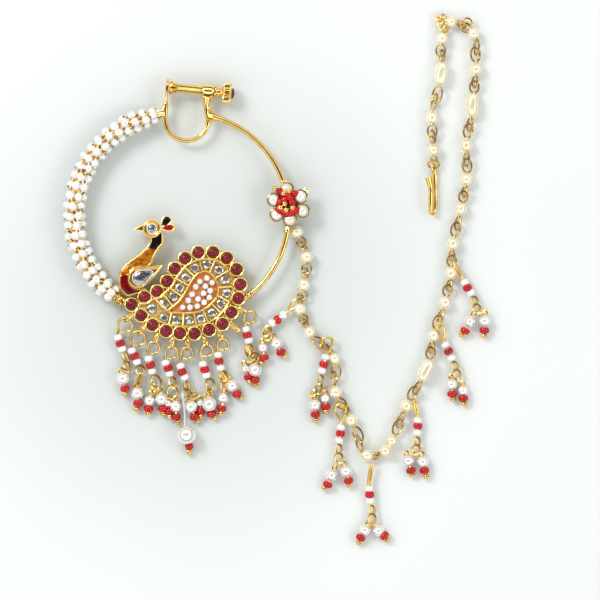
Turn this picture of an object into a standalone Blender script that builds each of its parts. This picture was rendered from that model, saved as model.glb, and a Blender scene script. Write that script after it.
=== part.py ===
# Nath nose ring laid flat: hoop with a screw clamp, seed-pearl sleeve, peacock plate, flower, chain and hair hook.
# The hoop's centre is the design origin, X to the right and Y up the hoop; everything lies on z = 0.

import math
from collections import namedtuple

import bpy
import numpy as np
from mathutils import Vector

# Gaps between separate pieces
GAP = 0.0001
JOIN_GAP = 0.00015

# Hoop and its seed-pearl sleeve
HOOP_RADIUS = 0.0254
HOOP_SPREAD = 0.00275
HOOP_WIRE = 0.00065
SLEEVE_RADIUS = 0.0030
SLEEVE_BORE = 0.0009
SLEEVE_START = 103.0
SLEEVE_END = 235.0
HOOP_LEVEL = SLEEVE_RADIUS

# Clamp: U yoke, flat arm, threaded boss, screw with its pad and knob
YOKE_RADIUS = 0.0054
YOKE_WIRE = 0.0006
YOKE_DROP = 0.0015
YOKE_SHIFT = 0.0013
JAW_HEIGHT = 0.0080
JAW_OPENING = 0.0085
JAW_WIDTH = 0.0038
JAW_LENGTH = 0.0055
JAW_THICKNESS = 0.00075
SCREW_TILT = -5.6
ROD_RADIUS = 0.0012
BORE_CLEARANCE = 0.0001
BOSS_LENGTH = 0.0026
BOSS_WALL = 0.00045
PAD_RADIUS = 0.0019
PAD_THICKNESS = 0.0017
PAD_REST_GAP = 0.0002
COLLAR_RADIUS = 0.0016
NECK_LENGTH = 0.0019
KNOB_RADIUS = 0.0024
KNOB_LENGTH = 0.0024
KNOB_STONE_RADIUS = 0.0017

# Plate: paisley rim of ruby cups, ridge, crystal cells and inner tray
PLATE_WIDTH = 0.0271
PLATE_HEIGHT = 0.02025
PLATE_SHIFT = 0.0012
PLATE_DROP = 0.0195
PLATE_THICKNESS = 0.0014
RUBY_COUNT = 20
RUBY_RADIUS = 0.00125
RUBY_HEIGHT = 0.0009
CUP_RADIUS = 0.0017
CUP_HEIGHT = 0.0021
RIM_OVERHANG = 0.0008
RIDGE_INSET = 0.0018
RIDGE_WIDTH = 0.0005
RIDGE_HEIGHT = 0.0021
TRAY_DEPTH = 0.0009
CRYSTAL_COUNT = 16
CRYSTAL_RADIUS = 0.00105
CRYSTAL_HEIGHT = 0.0008
BED_THICKNESS = 0.0002
BED_CLEARANCE = 0.0005

# Closed curves of the plate as shares of its width and height from its centre, anticlockwise from the tip
RIM_CURVE = ((-0.500, -0.143), (-0.308, -0.395), (-0.056, -0.496), (0.213, -0.454), (0.418, -0.240),
             (0.500, 0.104), (0.375, 0.428), (0.114, 0.500), (-0.103, 0.299), (-0.265, 0.019))
CRYSTAL_CURVE = ((-0.316, -0.194), (-0.087, -0.338), (0.137, -0.320), (0.321, -0.136),
                 (0.359, 0.162), (0.196, 0.340), (0.001, 0.184), (-0.116, -0.049))
TRAY_CURVE = ((-0.130, -0.225), (0.033, -0.237), (0.193, -0.200), (0.278, -0.086),
              (0.298, 0.103), (0.190, 0.255), (0.100, 0.205), (0.012, 0.040))

# Peacock: outer and inner edge of the neck and belly, from the head down, as shares like the plate's curves
NeckRow = namedtuple("NeckRow", "outer inner")
NECK = (NeckRow((-0.320, 0.673), (-0.216, 0.684)), NeckRow((-0.325, 0.617), (-0.229, 0.600)),
        NeckRow((-0.357, 0.562), (-0.268, 0.531)), NeckRow((-0.426, 0.467), (-0.312, 0.425)),
        NeckRow((-0.514, 0.383), (-0.349, 0.336)), NeckRow((-0.585, 0.284), (-0.482, 0.302)),
        NeckRow((-0.613, 0.185), (-0.533, 0.210)), NeckRow((-0.607, 0.093), (-0.525, 0.130)),
        NeckRow((-0.577, 0.017), (-0.486, 0.068)), NeckRow((-0.526, -0.027), (-0.435, 0.046)),
        NeckRow((-0.445, 0.009), (-0.373, 0.049)))
BAND_ROWS = (0, 2)
NECK_ROWS = (2, 6)
BELLY_ROWS = (6, 10)
HEAD_AT = (-0.314, 0.793)
WING_AT = (-0.440, 0.185)
WING_TIP = (-0.224, 0.344)
WING_STONE_AT = (-0.405, 0.188)
BEAK_TIP = (-0.478, 0.780)
CREST_DROP_AT = (-0.184, 0.896)
CREST_LEAF_AT = (-0.158, 0.803)
CREST_TIP = (-0.094, 0.783)
HEAD_RADIUS = 0.0023
EYE_RADIUS = 0.0014
WING_RADIUS = 0.00245
WING_STONE_RADIUS = 0.0015
CREST_RADIUS = 0.0011
BASE_THICKNESS = 0.0013
ENAMEL_THICKNESS = 0.0004
ENAMEL_INSET = 0.0003
NECK_RIM = 0.0003

# Soldered loops under the plate, and the eye rings that hang in them
LOOP_LENGTH = 0.0032
LOOP_HEIGHT = 0.0021
LOOP_WIRE = 0.00032
LOOP_REACH = 0.00235
EYE_REACH = 0.00465
EYE_RING = 0.00172
EYE_WIRE = 0.00027
EYE_SAG = 0.0005

# Drops: seed beads on a stem, a link, then a pearl with a seed bead and a ball under it
STEM_WIRE = 0.0003
SEED_RADIUS = 0.0011
SEEDS_LENGTH = 0.0040
LINK_RADIUS = 0.0005
DROP_RADIUS = 0.00135
TIP_LENGTH = 0.0022
BIG_PEARL_RADIUS = 0.0024
STEM_SIDE = -155.0
STEM_RUN = (-0.0015, -0.0027)

# Plate drops: gap between two ruby cups, counted from the tip; heading of the loop; lean of the beads;
# link from the beads' end; drops from the link as x, y, heading
Drop = namedtuple("Drop", "x y heading")
PlateDrop = namedtuple("PlateDrop", "cup loop lean link drops")
PLATE_DROPS = (
    PlateDrop(0, -129, -71, (0.00085, -0.0041), (Drop(-0.0009, -0.0028, -84),)),
    PlateDrop(1, -118, -66, (0.0005, -0.0042), (Drop(-0.0006, -0.0032, -91),)),
    PlateDrop(2, -108, -77, (0.0012, -0.0036), (Drop(-0.0019, -0.0031, -94), Drop(0.0011, -0.0028, -83))),
    PlateDrop(3, -95, -70, (0.0004, -0.0039), (Drop(0.0008, -0.0039, -81),)),
    PlateDrop(4, -92, -69, (0.0006, -0.0039), (Drop(0.0009, -0.0031, -65),)),
    PlateDrop(5, -75, -72, (0.0006, -0.0034), (Drop(0.0002, -0.0033, -75),)),
    PlateDrop(6, -68, -79, (0.0006, -0.0042), (Drop(0.0000, -0.0031, -100), Drop(0.0023, 0.0002, -57))),
    PlateDrop(8, -37, -76, (0.0013, -0.0033), (Drop(0.0001, -0.0035, -86),)),
)
BARE_LOOP_CUP = 7
BARE_LOOP_HEADING = -49
CENTRE_DROP = ((0.0004, -0.0462), (0.0008, -0.0515), (0.0010, -0.0553))

# Flower on the right hoop wire
FLOWER_ANGLE = 5.3
FLOWER_TURN = 97.0
FLOWER_PETALS = 6
PETAL_REACH = 0.00385
PETAL_RADIUS = 0.00165
PETAL_PEARL = 0.00145
PETAL_HEIGHT = 0.0014
FLOWER_BASE_RADIUS = 0.0030
FLOWER_BASE_HEIGHT = 0.0006
CLUSTER_RADIUS = 0.0023
CLUSTER_HEIGHT = 0.0026

# Chain: route of the pearls from the hoop's centre, and the pearls on each stretch to the next point
Stretch = namedtuple("Stretch", "x y pearls")
CHAIN_ROUTE = (
    Stretch(0.0291, -0.0047, 1), Stretch(0.0313, -0.0105, 2), Stretch(0.0298, -0.0236, 1),
    Stretch(0.0320, -0.0293, 1), Stretch(0.0382, -0.0359, 1), Stretch(0.0388, -0.0442, 1),
    Stretch(0.0425, -0.0513, 1), Stretch(0.0460, -0.0604, 1), Stretch(0.0503, -0.0594, 1),
    Stretch(0.0528, -0.0561, 1), Stretch(0.0563, -0.0478, 1), Stretch(0.0610, -0.0388, 1),
    Stretch(0.0631, -0.0301, 2), Stretch(0.0675, -0.0145, 2), Stretch(0.0699, 0.0015, 2),
    Stretch(0.0713, 0.0175, 2), Stretch(0.0736, 0.0365, 1), Stretch(0.0731, 0.0453, 1),
    Stretch(0.0675, 0.0483, 1), Stretch(0.0650, 0.0442, 1), Stretch(0.0649, 0.0353, 1),
    Stretch(0.0626, 0.0244, 1), Stretch(0.0630, 0.0163, 1), Stretch(0.0630, 0.0142, 0))
CHAIN_PEARL = 0.0015
LONG_PEARL = 0.0029
LONG_PEARLS = (12, 20, 25)
CHAIN_SPLIT = 14
CHAIN_LINK = 0.0005
HOOP_RING_ANGLE = -9.4

# Chain drops: pearl that the drop follows, start of its seed beads, lean, link and drops, from the hoop's centre
ChainDrop = namedtuple("ChainDrop", "pearl start lean link drops")
CHAIN_DROPS = (
    ChainDrop(2, (0.0259, -0.0245), -143, (0.0214, -0.0295), (Drop(0.0238, -0.0321, -58),
                                                             Drop(0.0203, -0.0333, -94))),
    ChainDrop(4, (0.0355, -0.0349), -100, (0.0346, -0.0428), (Drop(0.0334, -0.0475, -88),)),
    ChainDrop(6, (0.0399, -0.0525), -97, (0.0394, -0.0602), (Drop(0.0376, -0.0651, -119),
                                                            Drop(0.0411, -0.0641, -76))),
    ChainDrop(8, (0.0470, -0.0681), -83, (0.0478, -0.0756), (Drop(0.0459, -0.0788, -117),
                                                            Drop(0.0493, -0.0789, -49))),
    ChainDrop(11, (0.0591, -0.0506), -92, (0.0590, -0.0573), (Drop(0.0567, -0.0614, -74),
                                                             Drop(0.0604, -0.0617, -76))),
    ChainDrop(13, (0.0658, -0.0318), -65, (0.0689, -0.0380), (Drop(0.0675, -0.0421, -84),
                                                             Drop(0.0704, -0.0439, -84))),
    ChainDrop(15, (0.0706, -0.0163), -64, (0.0739, -0.0218), (Drop(0.0721, -0.0265, -122),
                                                             Drop(0.0759, -0.0264, -92))),
)
DROP_RING = 0.00145

# Hair hook: eye, long leg, bend, short leg and flared tip
HOOK_WIRE = 0.00055
HOOK_EYE = 0.0011
HOOK_EYE_WIRE = 0.0003
HOOK_ROUTE = ((0.0630, 0.0120, 0.0008), (0.0636, 0.0090, 0.0006), (0.0636, 0.0025, 0.0006),
              (0.0632, 0.0007, 0.0009), (0.0627, 0.0004, 0.0016), (0.0622, 0.0012, 0.0022),
              (0.0621, 0.0057, 0.0023), (0.0619, 0.0085, 0.0023), (0.0613, 0.0098, 0.0024))

# Facets
ROUND = 12
SLEEVE_SIDES = 10
BEAD_SIDES = 10
WIRE_SIDES = 5
LINK_STEPS = 10
HOOP_STEP = 9.0
HOOP_SIDES = 8
CUP_SIDES = 8
CURVE_STATIONS = 26
FINE = 16
LOOK_AHEAD = 0.0003
SMOOTH_ANGLE = math.radians(35)

UP = Vector((0, 0, 1))
PLATE_BACK = HOOP_LEVEL - PLATE_THICKNESS / 2


def clear_scene():
    for item in list(bpy.data.objects):
        bpy.data.objects.remove(item, do_unlink=True)


def material(name, colour, metallic, roughness):
    made = bpy.data.materials.new(name)
    made.use_nodes = True
    shader = made.node_tree.nodes["Principled BSDF"]
    shader.inputs["Base Color"].default_value = (*colour, 1)
    shader.inputs["Metallic"].default_value = metallic
    shader.inputs["Roughness"].default_value = roughness
    return made


def heading(degrees):
    return Vector((math.cos(math.radians(degrees)), math.sin(math.radians(degrees)), 0))


def flat(point, z=0.0):
    return Vector((point[0], point[1], z))


# Closed meshes as (points, faces) pairs

def skin(sections, sides=BEAD_SIDES):
    """Closed skin over round sections, each a centre, a normal and a radius or a pair of half widths."""
    points = []
    across = sections[0][1].orthogonal().normalized()
    for centre, normal, radius in sections:
        normal = normal.normalized()
        across = (across - across.dot(normal) * normal).normalized()
        other = normal.cross(across)
        wide, high = radius if isinstance(radius, tuple) else (radius, radius)
        for k in range(sides):
            turn = 2 * math.pi * k / sides
            points.append(centre + across * (wide * math.cos(turn)) + other * (high * math.sin(turn)))
    faces = [tuple(reversed(range(sides)))]
    for row in range(len(sections) - 1):
        start = row * sides
        for k in range(sides):
            after = (k + 1) % sides
            faces.append((start + k, start + after, start + sides + after, start + sides + k))
    last = (len(sections) - 1) * sides
    faces.append(tuple(range(last, last + sides)))
    return points, faces


def tube(path, radius, sides=BEAD_SIDES):
    """Round wire along a path; radius is one value or one for each point."""
    radii = radius if isinstance(radius, (list, tuple)) else [radius] * len(path)
    sections = []
    for k, point in enumerate(path):
        before = path[max(k - 1, 0)]
        after = path[min(k + 1, len(path) - 1)]
        sections.append((point, after - before, radii[k]))
    return skin(sections, sides)


def turned(profile, start, axis, sides=ROUND):
    """Solid of revolution: profile rows are (distance along the axis, radius)."""
    return skin([(start + axis * along, axis, radius) for along, radius in profile], sides)


def hollow_turned(profile, start, axis, sides=ROUND):
    """Ring of revolution whose closed profile rows are (distance along the axis, radius), outer side first."""
    across = axis.orthogonal().normalized()
    other = axis.cross(across)
    points = []
    for along, radius in profile:
        for k in range(sides):
            turn = 2 * math.pi * k / sides
            points.append(start + axis * along + (across * math.cos(turn) + other * math.sin(turn)) * radius)
    return points, loop_faces(len(profile), sides)


def loop_faces(rows, sides):
    faces = []
    for row in range(rows):
        below = row * sides
        above = (row + 1) % rows * sides
        for k in range(sides):
            after = (k + 1) % sides
            faces.append((below + k, below + after, above + after, above + k))
    return faces


def ring(centre, long_axis, short_axis, half_length, half_width, wire, steps=LINK_STEPS, sides=WIRE_SIDES):
    """Oval wire ring in the plane of two axes."""
    normal = long_axis.cross(short_axis).normalized()
    points = []
    for step in range(steps):
        turn = 2 * math.pi * step / steps
        out = long_axis * (half_length * math.cos(turn)) + short_axis * (half_width * math.sin(turn))
        away = (long_axis * (half_width * math.cos(turn)) + short_axis * (half_length * math.sin(turn))).normalized()
        for k in range(sides):
            roll = 2 * math.pi * k / sides
            points.append(centre + out + (away * math.cos(roll) + normal * math.sin(roll)) * wire)
    return points, [tuple(reversed(face)) for face in loop_faces(steps, sides)]


def prism(outline, bottom, top):
    """Upright solid over an anticlockwise outline."""
    count = len(outline)
    points = [flat(point, bottom) for point in outline] + [flat(point, top) for point in outline]
    faces = [tuple(reversed(range(count))), tuple(range(count, 2 * count))]
    for k in range(count):
        after = (k + 1) % count
        faces.append((k, after, count + after, count + k))
    return points, faces


def disc(centre, radius, sides=BEAD_SIDES):
    return [flat(centre) + heading(360 * (k + 0.5) / sides) * radius for k in range(sides)]


def dome(centre, radius, bottom, height):
    """Low polished dome on a flat base."""
    return turned(((0, radius), (0.5 * height, 0.85 * radius), (height, 0.4 * radius)),
                  flat(centre, bottom), UP, BEAD_SIDES)


def bar(start, end, half_width):
    """Outline of a straight bar between two points."""
    along = (end - start).normalized()
    side = Vector((along.y, -along.x, 0)) * half_width
    return [start + side, end + side, end - side, start - side]


def teardrop(centre, radius, tip, sides=FINE):
    """Outline with a round end about the centre and a point at the tip."""
    centre = flat(centre)
    reach = flat(tip) - centre
    facing = math.degrees(math.atan2(reach.y, reach.x))
    open_half = math.degrees(math.acos(min(1.0, radius / reach.length)))
    arc = [centre + heading(facing + open_half + (360 - 2 * open_half) * k / (sides - 2)) * radius
           for k in range(sides - 1)]
    return arc + [centre + reach]


# Closed curves of the plate

def plate_point(share):
    return Vector((PLATE_SHIFT + share[0] * PLATE_WIDTH, -PLATE_DROP + share[1] * PLATE_HEIGHT, 0))


def smooth_curve(points, closed, steps=24):
    """Dense points of a smooth curve through the given points."""
    count = len(points)
    dense = []
    spans = count if closed else count - 1
    for span in range(spans):
        picks = [points[(span + k) % count] if closed else points[min(max(span + k, 0), count - 1)]
                 for k in (-1, 0, 1, 2)]
        before, start, end, after = picks
        for step in range(steps):
            t = step / steps
            dense.append(0.5 * ((2 * start) + (end - before) * t + (2 * before - 5 * start + 4 * end - after) * t * t
                                + (3 * start - before - 3 * end + after) * t ** 3))
    if not closed:
        dense.append(points[-1].copy())
    return dense


def even_stations(dense, count):
    """Points at equal distances round a closed dense curve, with their outward normals."""
    closed = np.array([tuple(point) for point in dense + dense[:1]])
    lengths = np.concatenate([[0], np.cumsum(np.linalg.norm(np.diff(closed, axis=0), axis=1))])
    wanted = np.arange(count) / count * lengths[-1]
    step_ahead = (wanted + LOOK_AHEAD) % lengths[-1]
    places = np.stack([np.interp(wanted, lengths, closed[:, axis]) for axis in range(3)], axis=1)
    ahead = np.stack([np.interp(step_ahead, lengths, closed[:, axis]) for axis in range(3)], axis=1)
    stations = []
    for place, further in zip(places, ahead):
        along = Vector(further - place).normalized()
        stations.append((Vector(place), Vector((along.y, -along.x, 0))))
    return stations


def offset_curve(stations, distance):
    return [place + outward * distance for place, outward in stations]


# Objects

def make_object(name, shape, look):
    points, faces = shape
    mesh = bpy.data.meshes.new(name)
    mesh.from_pydata([tuple(point) for point in points], [], faces)
    mesh.update()
    made = bpy.data.objects.new(name, mesh)
    bpy.context.collection.objects.link(made)
    finish(made, look)
    return made


def finish(made, look):
    made.data.materials.clear()
    made.data.materials.append(look)
    made.data.shade_smooth()
    made.data.set_sharp_from_angle(angle=SMOOTH_ANGLE)


def fused(name, shapes, look, solver="EXACT"):
    """One solid out of several closed shapes that run into each other."""
    base = make_object(name, shapes[0], look)
    helpers = []
    for number, shape in enumerate(shapes[1:]):
        helper = make_object(f"{name}_piece_{number}", shape, look)
        helpers.append(helper)
        joint = base.modifiers.new(f"union_{number}", "BOOLEAN")
        joint.operation = "UNION"
        joint.solver = solver
        joint.object = helper
    mesh = bpy.data.meshes.new_from_object(base.evaluated_get(bpy.context.evaluated_depsgraph_get()))
    base.modifiers.clear()
    base.data = mesh
    for helper in helpers:
        bpy.data.objects.remove(helper, do_unlink=True)
    finish(base, look)
    return base


# Hoop, sleeve and clamp

def hoop_centre(side):
    return Vector((side * HOOP_SPREAD / 2, 0, HOOP_LEVEL))


def hoop_point(side, angle):
    return hoop_centre(side) + heading(angle) * HOOP_RADIUS


def hoop_arc(side, start, end):
    steps = max(2, round(abs(end - start) / HOOP_STEP))
    return [hoop_point(side, start + (end - start) * k / steps) for k in range(steps + 1)]


def yoke_centre():
    return Vector((YOKE_SHIFT, HOOP_RADIUS - YOKE_DROP, HOOP_LEVEL))


def hoop_end_angle(side, cup):
    """Angle where a hoop wire stops at the cup it is bound to."""
    reach = cup - hoop_centre(side)
    at_cup = math.degrees(math.atan2(reach.y, reach.x)) % 360
    clear = math.degrees((CUP_RADIUS + JOIN_GAP) / HOOP_RADIUS)
    return at_cup - clear if side < 0 else at_cup - 360 + clear


def screw_frame():
    """Place of the flat arm's inner face on the screw's axis, the axis and the way up the arm."""
    axis = heading(SCREW_TILT)
    face = yoke_centre() + Vector((-YOKE_RADIUS + YOKE_WIRE + JAW_THICKNESS / 2, JAW_HEIGHT, 0))
    return face, axis, heading(SCREW_TILT + 90)


def flat_arm():
    """Thin arm with a round top that faces the pad."""
    face, axis, up = screw_frame()
    half = JAW_WIDTH / 2
    outline = [(-JAW_LENGTH + half, -half * 0.6), (-JAW_LENGTH + half, half * 0.6), (-half, half)]
    outline += [(half * math.sin(math.radians(turn)), half * math.cos(math.radians(turn)))
                for turn in range(0, 181, 30)]
    outline += [(-half, -half)]
    points = [face + up * rise + UP * side for rise, side in outline]
    points += [point - axis * JAW_THICKNESS for point in points]
    count = len(outline)
    faces = [tuple(range(count)), tuple(reversed(range(count, 2 * count)))]
    faces += [(k, count + k, count + (k + 1) % count, (k + 1) % count) for k in range(count)]
    return points, faces


def yoke():
    """U wire from the flat arm round to the boss, thicker where it carries the boss."""
    face, axis, up = screw_frame()
    middle = yoke_centre()
    boss = face + axis * (JAW_OPENING + BOSS_LENGTH / 2)
    path = [face - axis * (JAW_THICKNESS / 2) - up * (JAW_LENGTH - JAW_WIDTH / 2 - 2 * GAP - YOKE_WIRE)]
    path += [middle + heading(angle) * YOKE_RADIUS for angle in range(180, 361, 18)]
    boss_radius = ROD_RADIUS + BORE_CLEARANCE + BOSS_WALL
    path += [boss - up * (boss_radius * 2.6), boss - up * (boss_radius * 0.86)]
    radii = [YOKE_WIRE] * (len(path) - 2) + [YOKE_WIRE * 1.3, YOKE_WIRE * 1.7]
    return tube(path, radii, HOOP_SIDES)


def boss():
    face, axis, _ = screw_frame()
    bore = ROD_RADIUS + BORE_CLEARANCE
    outer = bore + BOSS_WALL
    profile = ((0, outer * 0.9), (BOSS_LENGTH * 0.15, outer), (BOSS_LENGTH * 0.85, outer),
               (BOSS_LENGTH, outer * 0.9), (BOSS_LENGTH, bore), (0, bore))
    return hollow_turned(profile, face + axis * JAW_OPENING, axis)


def hoop_frame(look, left_cup, right_cup):
    middle = yoke_centre()
    left_leg = math.degrees(math.acos((middle.x - YOKE_RADIUS - hoop_centre(-1).x) / HOOP_RADIUS))
    right_leg = math.degrees(math.acos((middle.x + YOKE_RADIUS - hoop_centre(1).x) / HOOP_RADIUS))
    left = tube(hoop_arc(-1, left_leg, hoop_end_angle(-1, left_cup)), HOOP_WIRE, HOOP_SIDES)
    right = tube(hoop_arc(1, right_leg, hoop_end_angle(1, right_cup)), HOOP_WIRE, HOOP_SIDES)
    return fused("hoop_frame", [yoke(), flat_arm(), boss(), left, right], look)


def pearl_sleeve(look):
    """Sleeve round the left hoop wire, slimmer at both ends, with a bore for the wire."""
    path = hoop_arc(-1, SLEEVE_START, SLEEVE_END)
    count = len(path)
    outer = [SLEEVE_RADIUS] * count
    outer[0] = SLEEVE_RADIUS * 0.70
    outer[-1] = SLEEVE_RADIUS * 0.62
    outer[-2] = SLEEVE_RADIUS * 0.90
    points = []
    for radii in (outer, [SLEEVE_BORE] * count):
        for k, middle in enumerate(path):
            out = (middle - hoop_centre(-1)).normalized()
            for turn in range(SLEEVE_SIDES):
                roll = 2 * math.pi * (turn + 0.5) / SLEEVE_SIDES
                points.append(middle + (out * math.cos(roll) + UP * math.sin(roll)) * radii[k])
    faces = []
    inner = count * SLEEVE_SIDES
    end = (count - 1) * SLEEVE_SIDES
    for k in range(SLEEVE_SIDES):
        after = (k + 1) % SLEEVE_SIDES
        for row in range(count - 1):
            a, b = row * SLEEVE_SIDES, (row + 1) * SLEEVE_SIDES
            faces.append((a + after, a + k, b + k, b + after))
            faces.append((inner + a + k, inner + a + after, inner + b + after, inner + b + k))
        faces.append((k, after, inner + after, inner + k))
        faces.append((end + after, end + k, inner + end + k, inner + end + after))
    return make_object("pearl_sleeve", (points, faces), look)


def clamp_parts(gold, red):
    """Pad, screw with its knob, and the stone in the knob's end, about the screw's own axis along X."""
    axis = Vector((1, 0, 0))
    start = Vector((0, 0, 0))
    pad_back = PAD_REST_GAP + PAD_THICKNESS
    pad = make_object("clamp_pad", turned(
        ((PAD_REST_GAP, PAD_RADIUS * 0.9), (PAD_REST_GAP + PAD_THICKNESS * 0.1, PAD_RADIUS),
         (PAD_REST_GAP + PAD_THICKNESS * 0.5, PAD_RADIUS), (PAD_REST_GAP + PAD_THICKNESS * 0.6, PAD_RADIUS * 0.7),
         (pad_back, PAD_RADIUS * 0.75)), start, axis), gold)
    rod_start = pad_back + GAP
    collar = JAW_OPENING + BOSS_LENGTH + 3 * GAP
    knob = collar + NECK_LENGTH
    screw = make_object("clamp_screw", turned(
        ((rod_start, ROD_RADIUS * 0.9), (rod_start + GAP, ROD_RADIUS), (collar, ROD_RADIUS),
         (collar, COLLAR_RADIUS), (collar + NECK_LENGTH * 0.3, COLLAR_RADIUS),
         (collar + NECK_LENGTH * 0.4, ROD_RADIUS * 0.9), (knob, ROD_RADIUS),
         (knob, KNOB_RADIUS * 0.85), (knob + KNOB_LENGTH * 0.15, KNOB_RADIUS),
         (knob + KNOB_LENGTH * 0.85, KNOB_RADIUS), (knob + KNOB_LENGTH, KNOB_RADIUS * 0.88)), start, axis), gold)
    stone_start = knob + KNOB_LENGTH + GAP
    stone = make_object("knob_stone", turned(
        ((stone_start, KNOB_STONE_RADIUS), (stone_start + 0.0004, KNOB_STONE_RADIUS * 0.8),
         (stone_start + 0.0007, KNOB_STONE_RADIUS * 0.3)), start, axis), red)
    holder = bpy.data.objects.new("screw_axis", None)
    bpy.context.collection.objects.link(holder)
    face, _, _ = screw_frame()
    holder.location = face
    holder.rotation_euler = (0, 0, math.radians(SCREW_TILT))
    for piece in (pad, screw, stone):
        piece.parent = holder
    return holder


# Plate

def plate_curves():
    rim = smooth_curve([plate_point(share) for share in RIM_CURVE], True)
    crystals = smooth_curve([plate_point(share) for share in CRYSTAL_CURVE], True)
    tray = smooth_curve([plate_point(share) for share in TRAY_CURVE], True)
    return rim, crystals, tray


def inner_row(rim, tray, from_rim=None, from_tray=None):
    """Closed row inside the rim, a distance along the straight lines that join the rim's stations to the tray's."""
    outer = [place for place, _ in even_stations(rim, CURVE_STATIONS)]
    inner = [place for place, _ in even_stations(tray, CURVE_STATIONS)]
    row = []
    for a, b in zip(outer, inner):
        along = (b - a).normalized()
        row.append(a + along * from_rim if from_tray is None else b + along * from_tray)
    return row


def plate_body(rim, tray):
    """Slab with a raised ridge, a channel for the crystals, an inner wall and a sunk tray."""
    edge = offset_curve(even_stations(rim, CURVE_STATIONS), RIM_OVERHANG)
    top = PLATE_BACK + PLATE_THICKNESS
    crest = PLATE_BACK + RIDGE_HEIGHT
    floor = crest - TRAY_DEPTH - BED_THICKNESS - GAP
    half = RIDGE_WIDTH / 2
    ridge_outside = inner_row(rim, tray, from_rim=RIDGE_INSET - half)
    ridge_inside = inner_row(rim, tray, from_rim=RIDGE_INSET + half)
    wall_outside = inner_row(rim, tray, from_tray=-half)
    wall_inside = inner_row(rim, tray, from_tray=half)
    rows = [(edge, PLATE_BACK), (edge, top), (ridge_outside, top), (ridge_outside, crest), (ridge_inside, crest),
            (ridge_inside, floor), (wall_outside, floor), (wall_outside, crest), (wall_inside, crest),
            (wall_inside, floor)]
    points = [flat(point, z) for row, z in rows for point in row]
    count = CURVE_STATIONS
    faces = [tuple(reversed(range(count))), tuple(range((len(rows) - 1) * count, len(rows) * count))]
    for row in range(len(rows) - 1):
        for k in range(count):
            after = (k + 1) % count
            a, b = row * count, (row + 1) * count
            faces.append((a + k, a + after, b + after, b + k))
    return points, faces


def anticlockwise(outline):
    area = sum(a.x * b.y - b.x * a.y for a, b in zip(outline, outline[1:] + outline[:1]))
    return outline if area > 0 else outline[::-1]


def neck_strip(first, last, inset, bottom, top):
    """Prism over rows of the neck table, drawn in from its edges by the inset, or out where that is negative."""
    outer, inner = [], []
    for row in NECK[first:last + 1]:
        a, b = plate_point(row.outer), plate_point(row.inner)
        step = (b - a).normalized() * inset
        outer.append(a + step)
        inner.append(b - step)
    if inset:
        for edge in (outer, inner):
            edge[0] = edge[0] + (edge[1] - edge[0]).normalized() * inset
            edge[-1] = edge[-1] + (edge[-2] - edge[-1]).normalized() * inset
    return prism(anticlockwise(outer + inner[::-1]), bottom, top)


def peacock_castings():
    """Soldered base of the peacock: head and wing bezels, beak, crest and neck plate."""
    bottom = PLATE_BACK + 2 * GAP
    base_top = bottom + BASE_THICKNESS
    bezel_top = PLATE_BACK + RIDGE_HEIGHT
    head = plate_point(HEAD_AT)
    leaf = plate_point(CREST_LEAF_AT)
    crest_root = head + (leaf - head) * 0.3
    return [
        neck_strip(0, len(NECK) - 1, -NECK_RIM, bottom, base_top),
        prism(disc(head, HEAD_RADIUS, FINE), bottom - GAP, bezel_top),
        prism(anticlockwise(teardrop(plate_point(WING_AT), WING_RADIUS, plate_point(WING_TIP))),
              bottom + GAP, bezel_top + GAP),
        prism(anticlockwise(teardrop(head + heading(190) * (HEAD_RADIUS * 0.7), HEAD_RADIUS * 0.45,
                                     plate_point(BEAK_TIP), 8)), bottom + GAP, base_top + GAP),
        prism(anticlockwise(teardrop(plate_point(CREST_DROP_AT), CREST_RADIUS, crest_root, 10)),
              bottom + 2 * GAP, base_top - GAP),
        prism(anticlockwise(teardrop(leaf, CREST_RADIUS * 0.9, plate_point(CREST_TIP), 10)),
              bottom + 3 * GAP, base_top - 2 * GAP),
        prism(anticlockwise(bar(crest_root, leaf, CREST_RADIUS * 0.5)), bottom + 4 * GAP, base_top - 3 * GAP),
    ]


def belly_strap(places):
    """Short strap that joins the end of the peacock's belly to the nearest ruby cup."""
    belly_end = (plate_point(NECK[-1].outer) + plate_point(NECK[-1].inner)) / 2
    cup = min(places, key=lambda place: (place - belly_end).length)
    outline = bar(belly_end, cup, CUP_RADIUS * 0.6)
    return prism(anticlockwise(outline), PLATE_BACK + 5 * GAP, PLATE_BACK + BASE_THICKNESS - 2 * GAP)


def cup_gaps(cups):
    """Middle of each gap between two neighbouring cups, starting with the gap after the tip."""
    return [(cups[k][0] + cups[(k + 1) % RUBY_COUNT][0]) / 2 for k in range(RUBY_COUNT)]


def soldered_loop(gap, angle):
    middle = flat(gap, HOOP_LEVEL) + heading(angle) * LOOP_REACH
    return ring(middle, heading(angle), UP, LOOP_LENGTH / 2 - LOOP_WIRE, LOOP_HEIGHT / 2 - LOOP_WIRE, LOOP_WIRE)


def pendant_plate(look, curves, cups):
    gaps = cup_gaps(cups)
    shapes = [plate_body(curves[0], curves[2])]
    shapes += [prism(disc(place, CUP_RADIUS, CUP_SIDES), PLATE_BACK + GAP, PLATE_BACK + CUP_HEIGHT)
               for place, _ in cups]
    shapes += peacock_castings() + [belly_strap([place for place, _ in cups])]
    shapes += [soldered_loop(gaps[row.cup], row.loop) for row in PLATE_DROPS]
    shapes += [soldered_loop(gaps[BARE_LOOP_CUP], BARE_LOOP_HEADING)]
    return fused("pendant_plate", shapes, look)


def rubies(look, cups):
    bottom = PLATE_BACK + CUP_HEIGHT + GAP
    for number, (place, _) in enumerate(cups, 1):
        make_object(f"ruby_{number:02d}", dome(place, RUBY_RADIUS, bottom, RUBY_HEIGHT), look)


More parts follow.
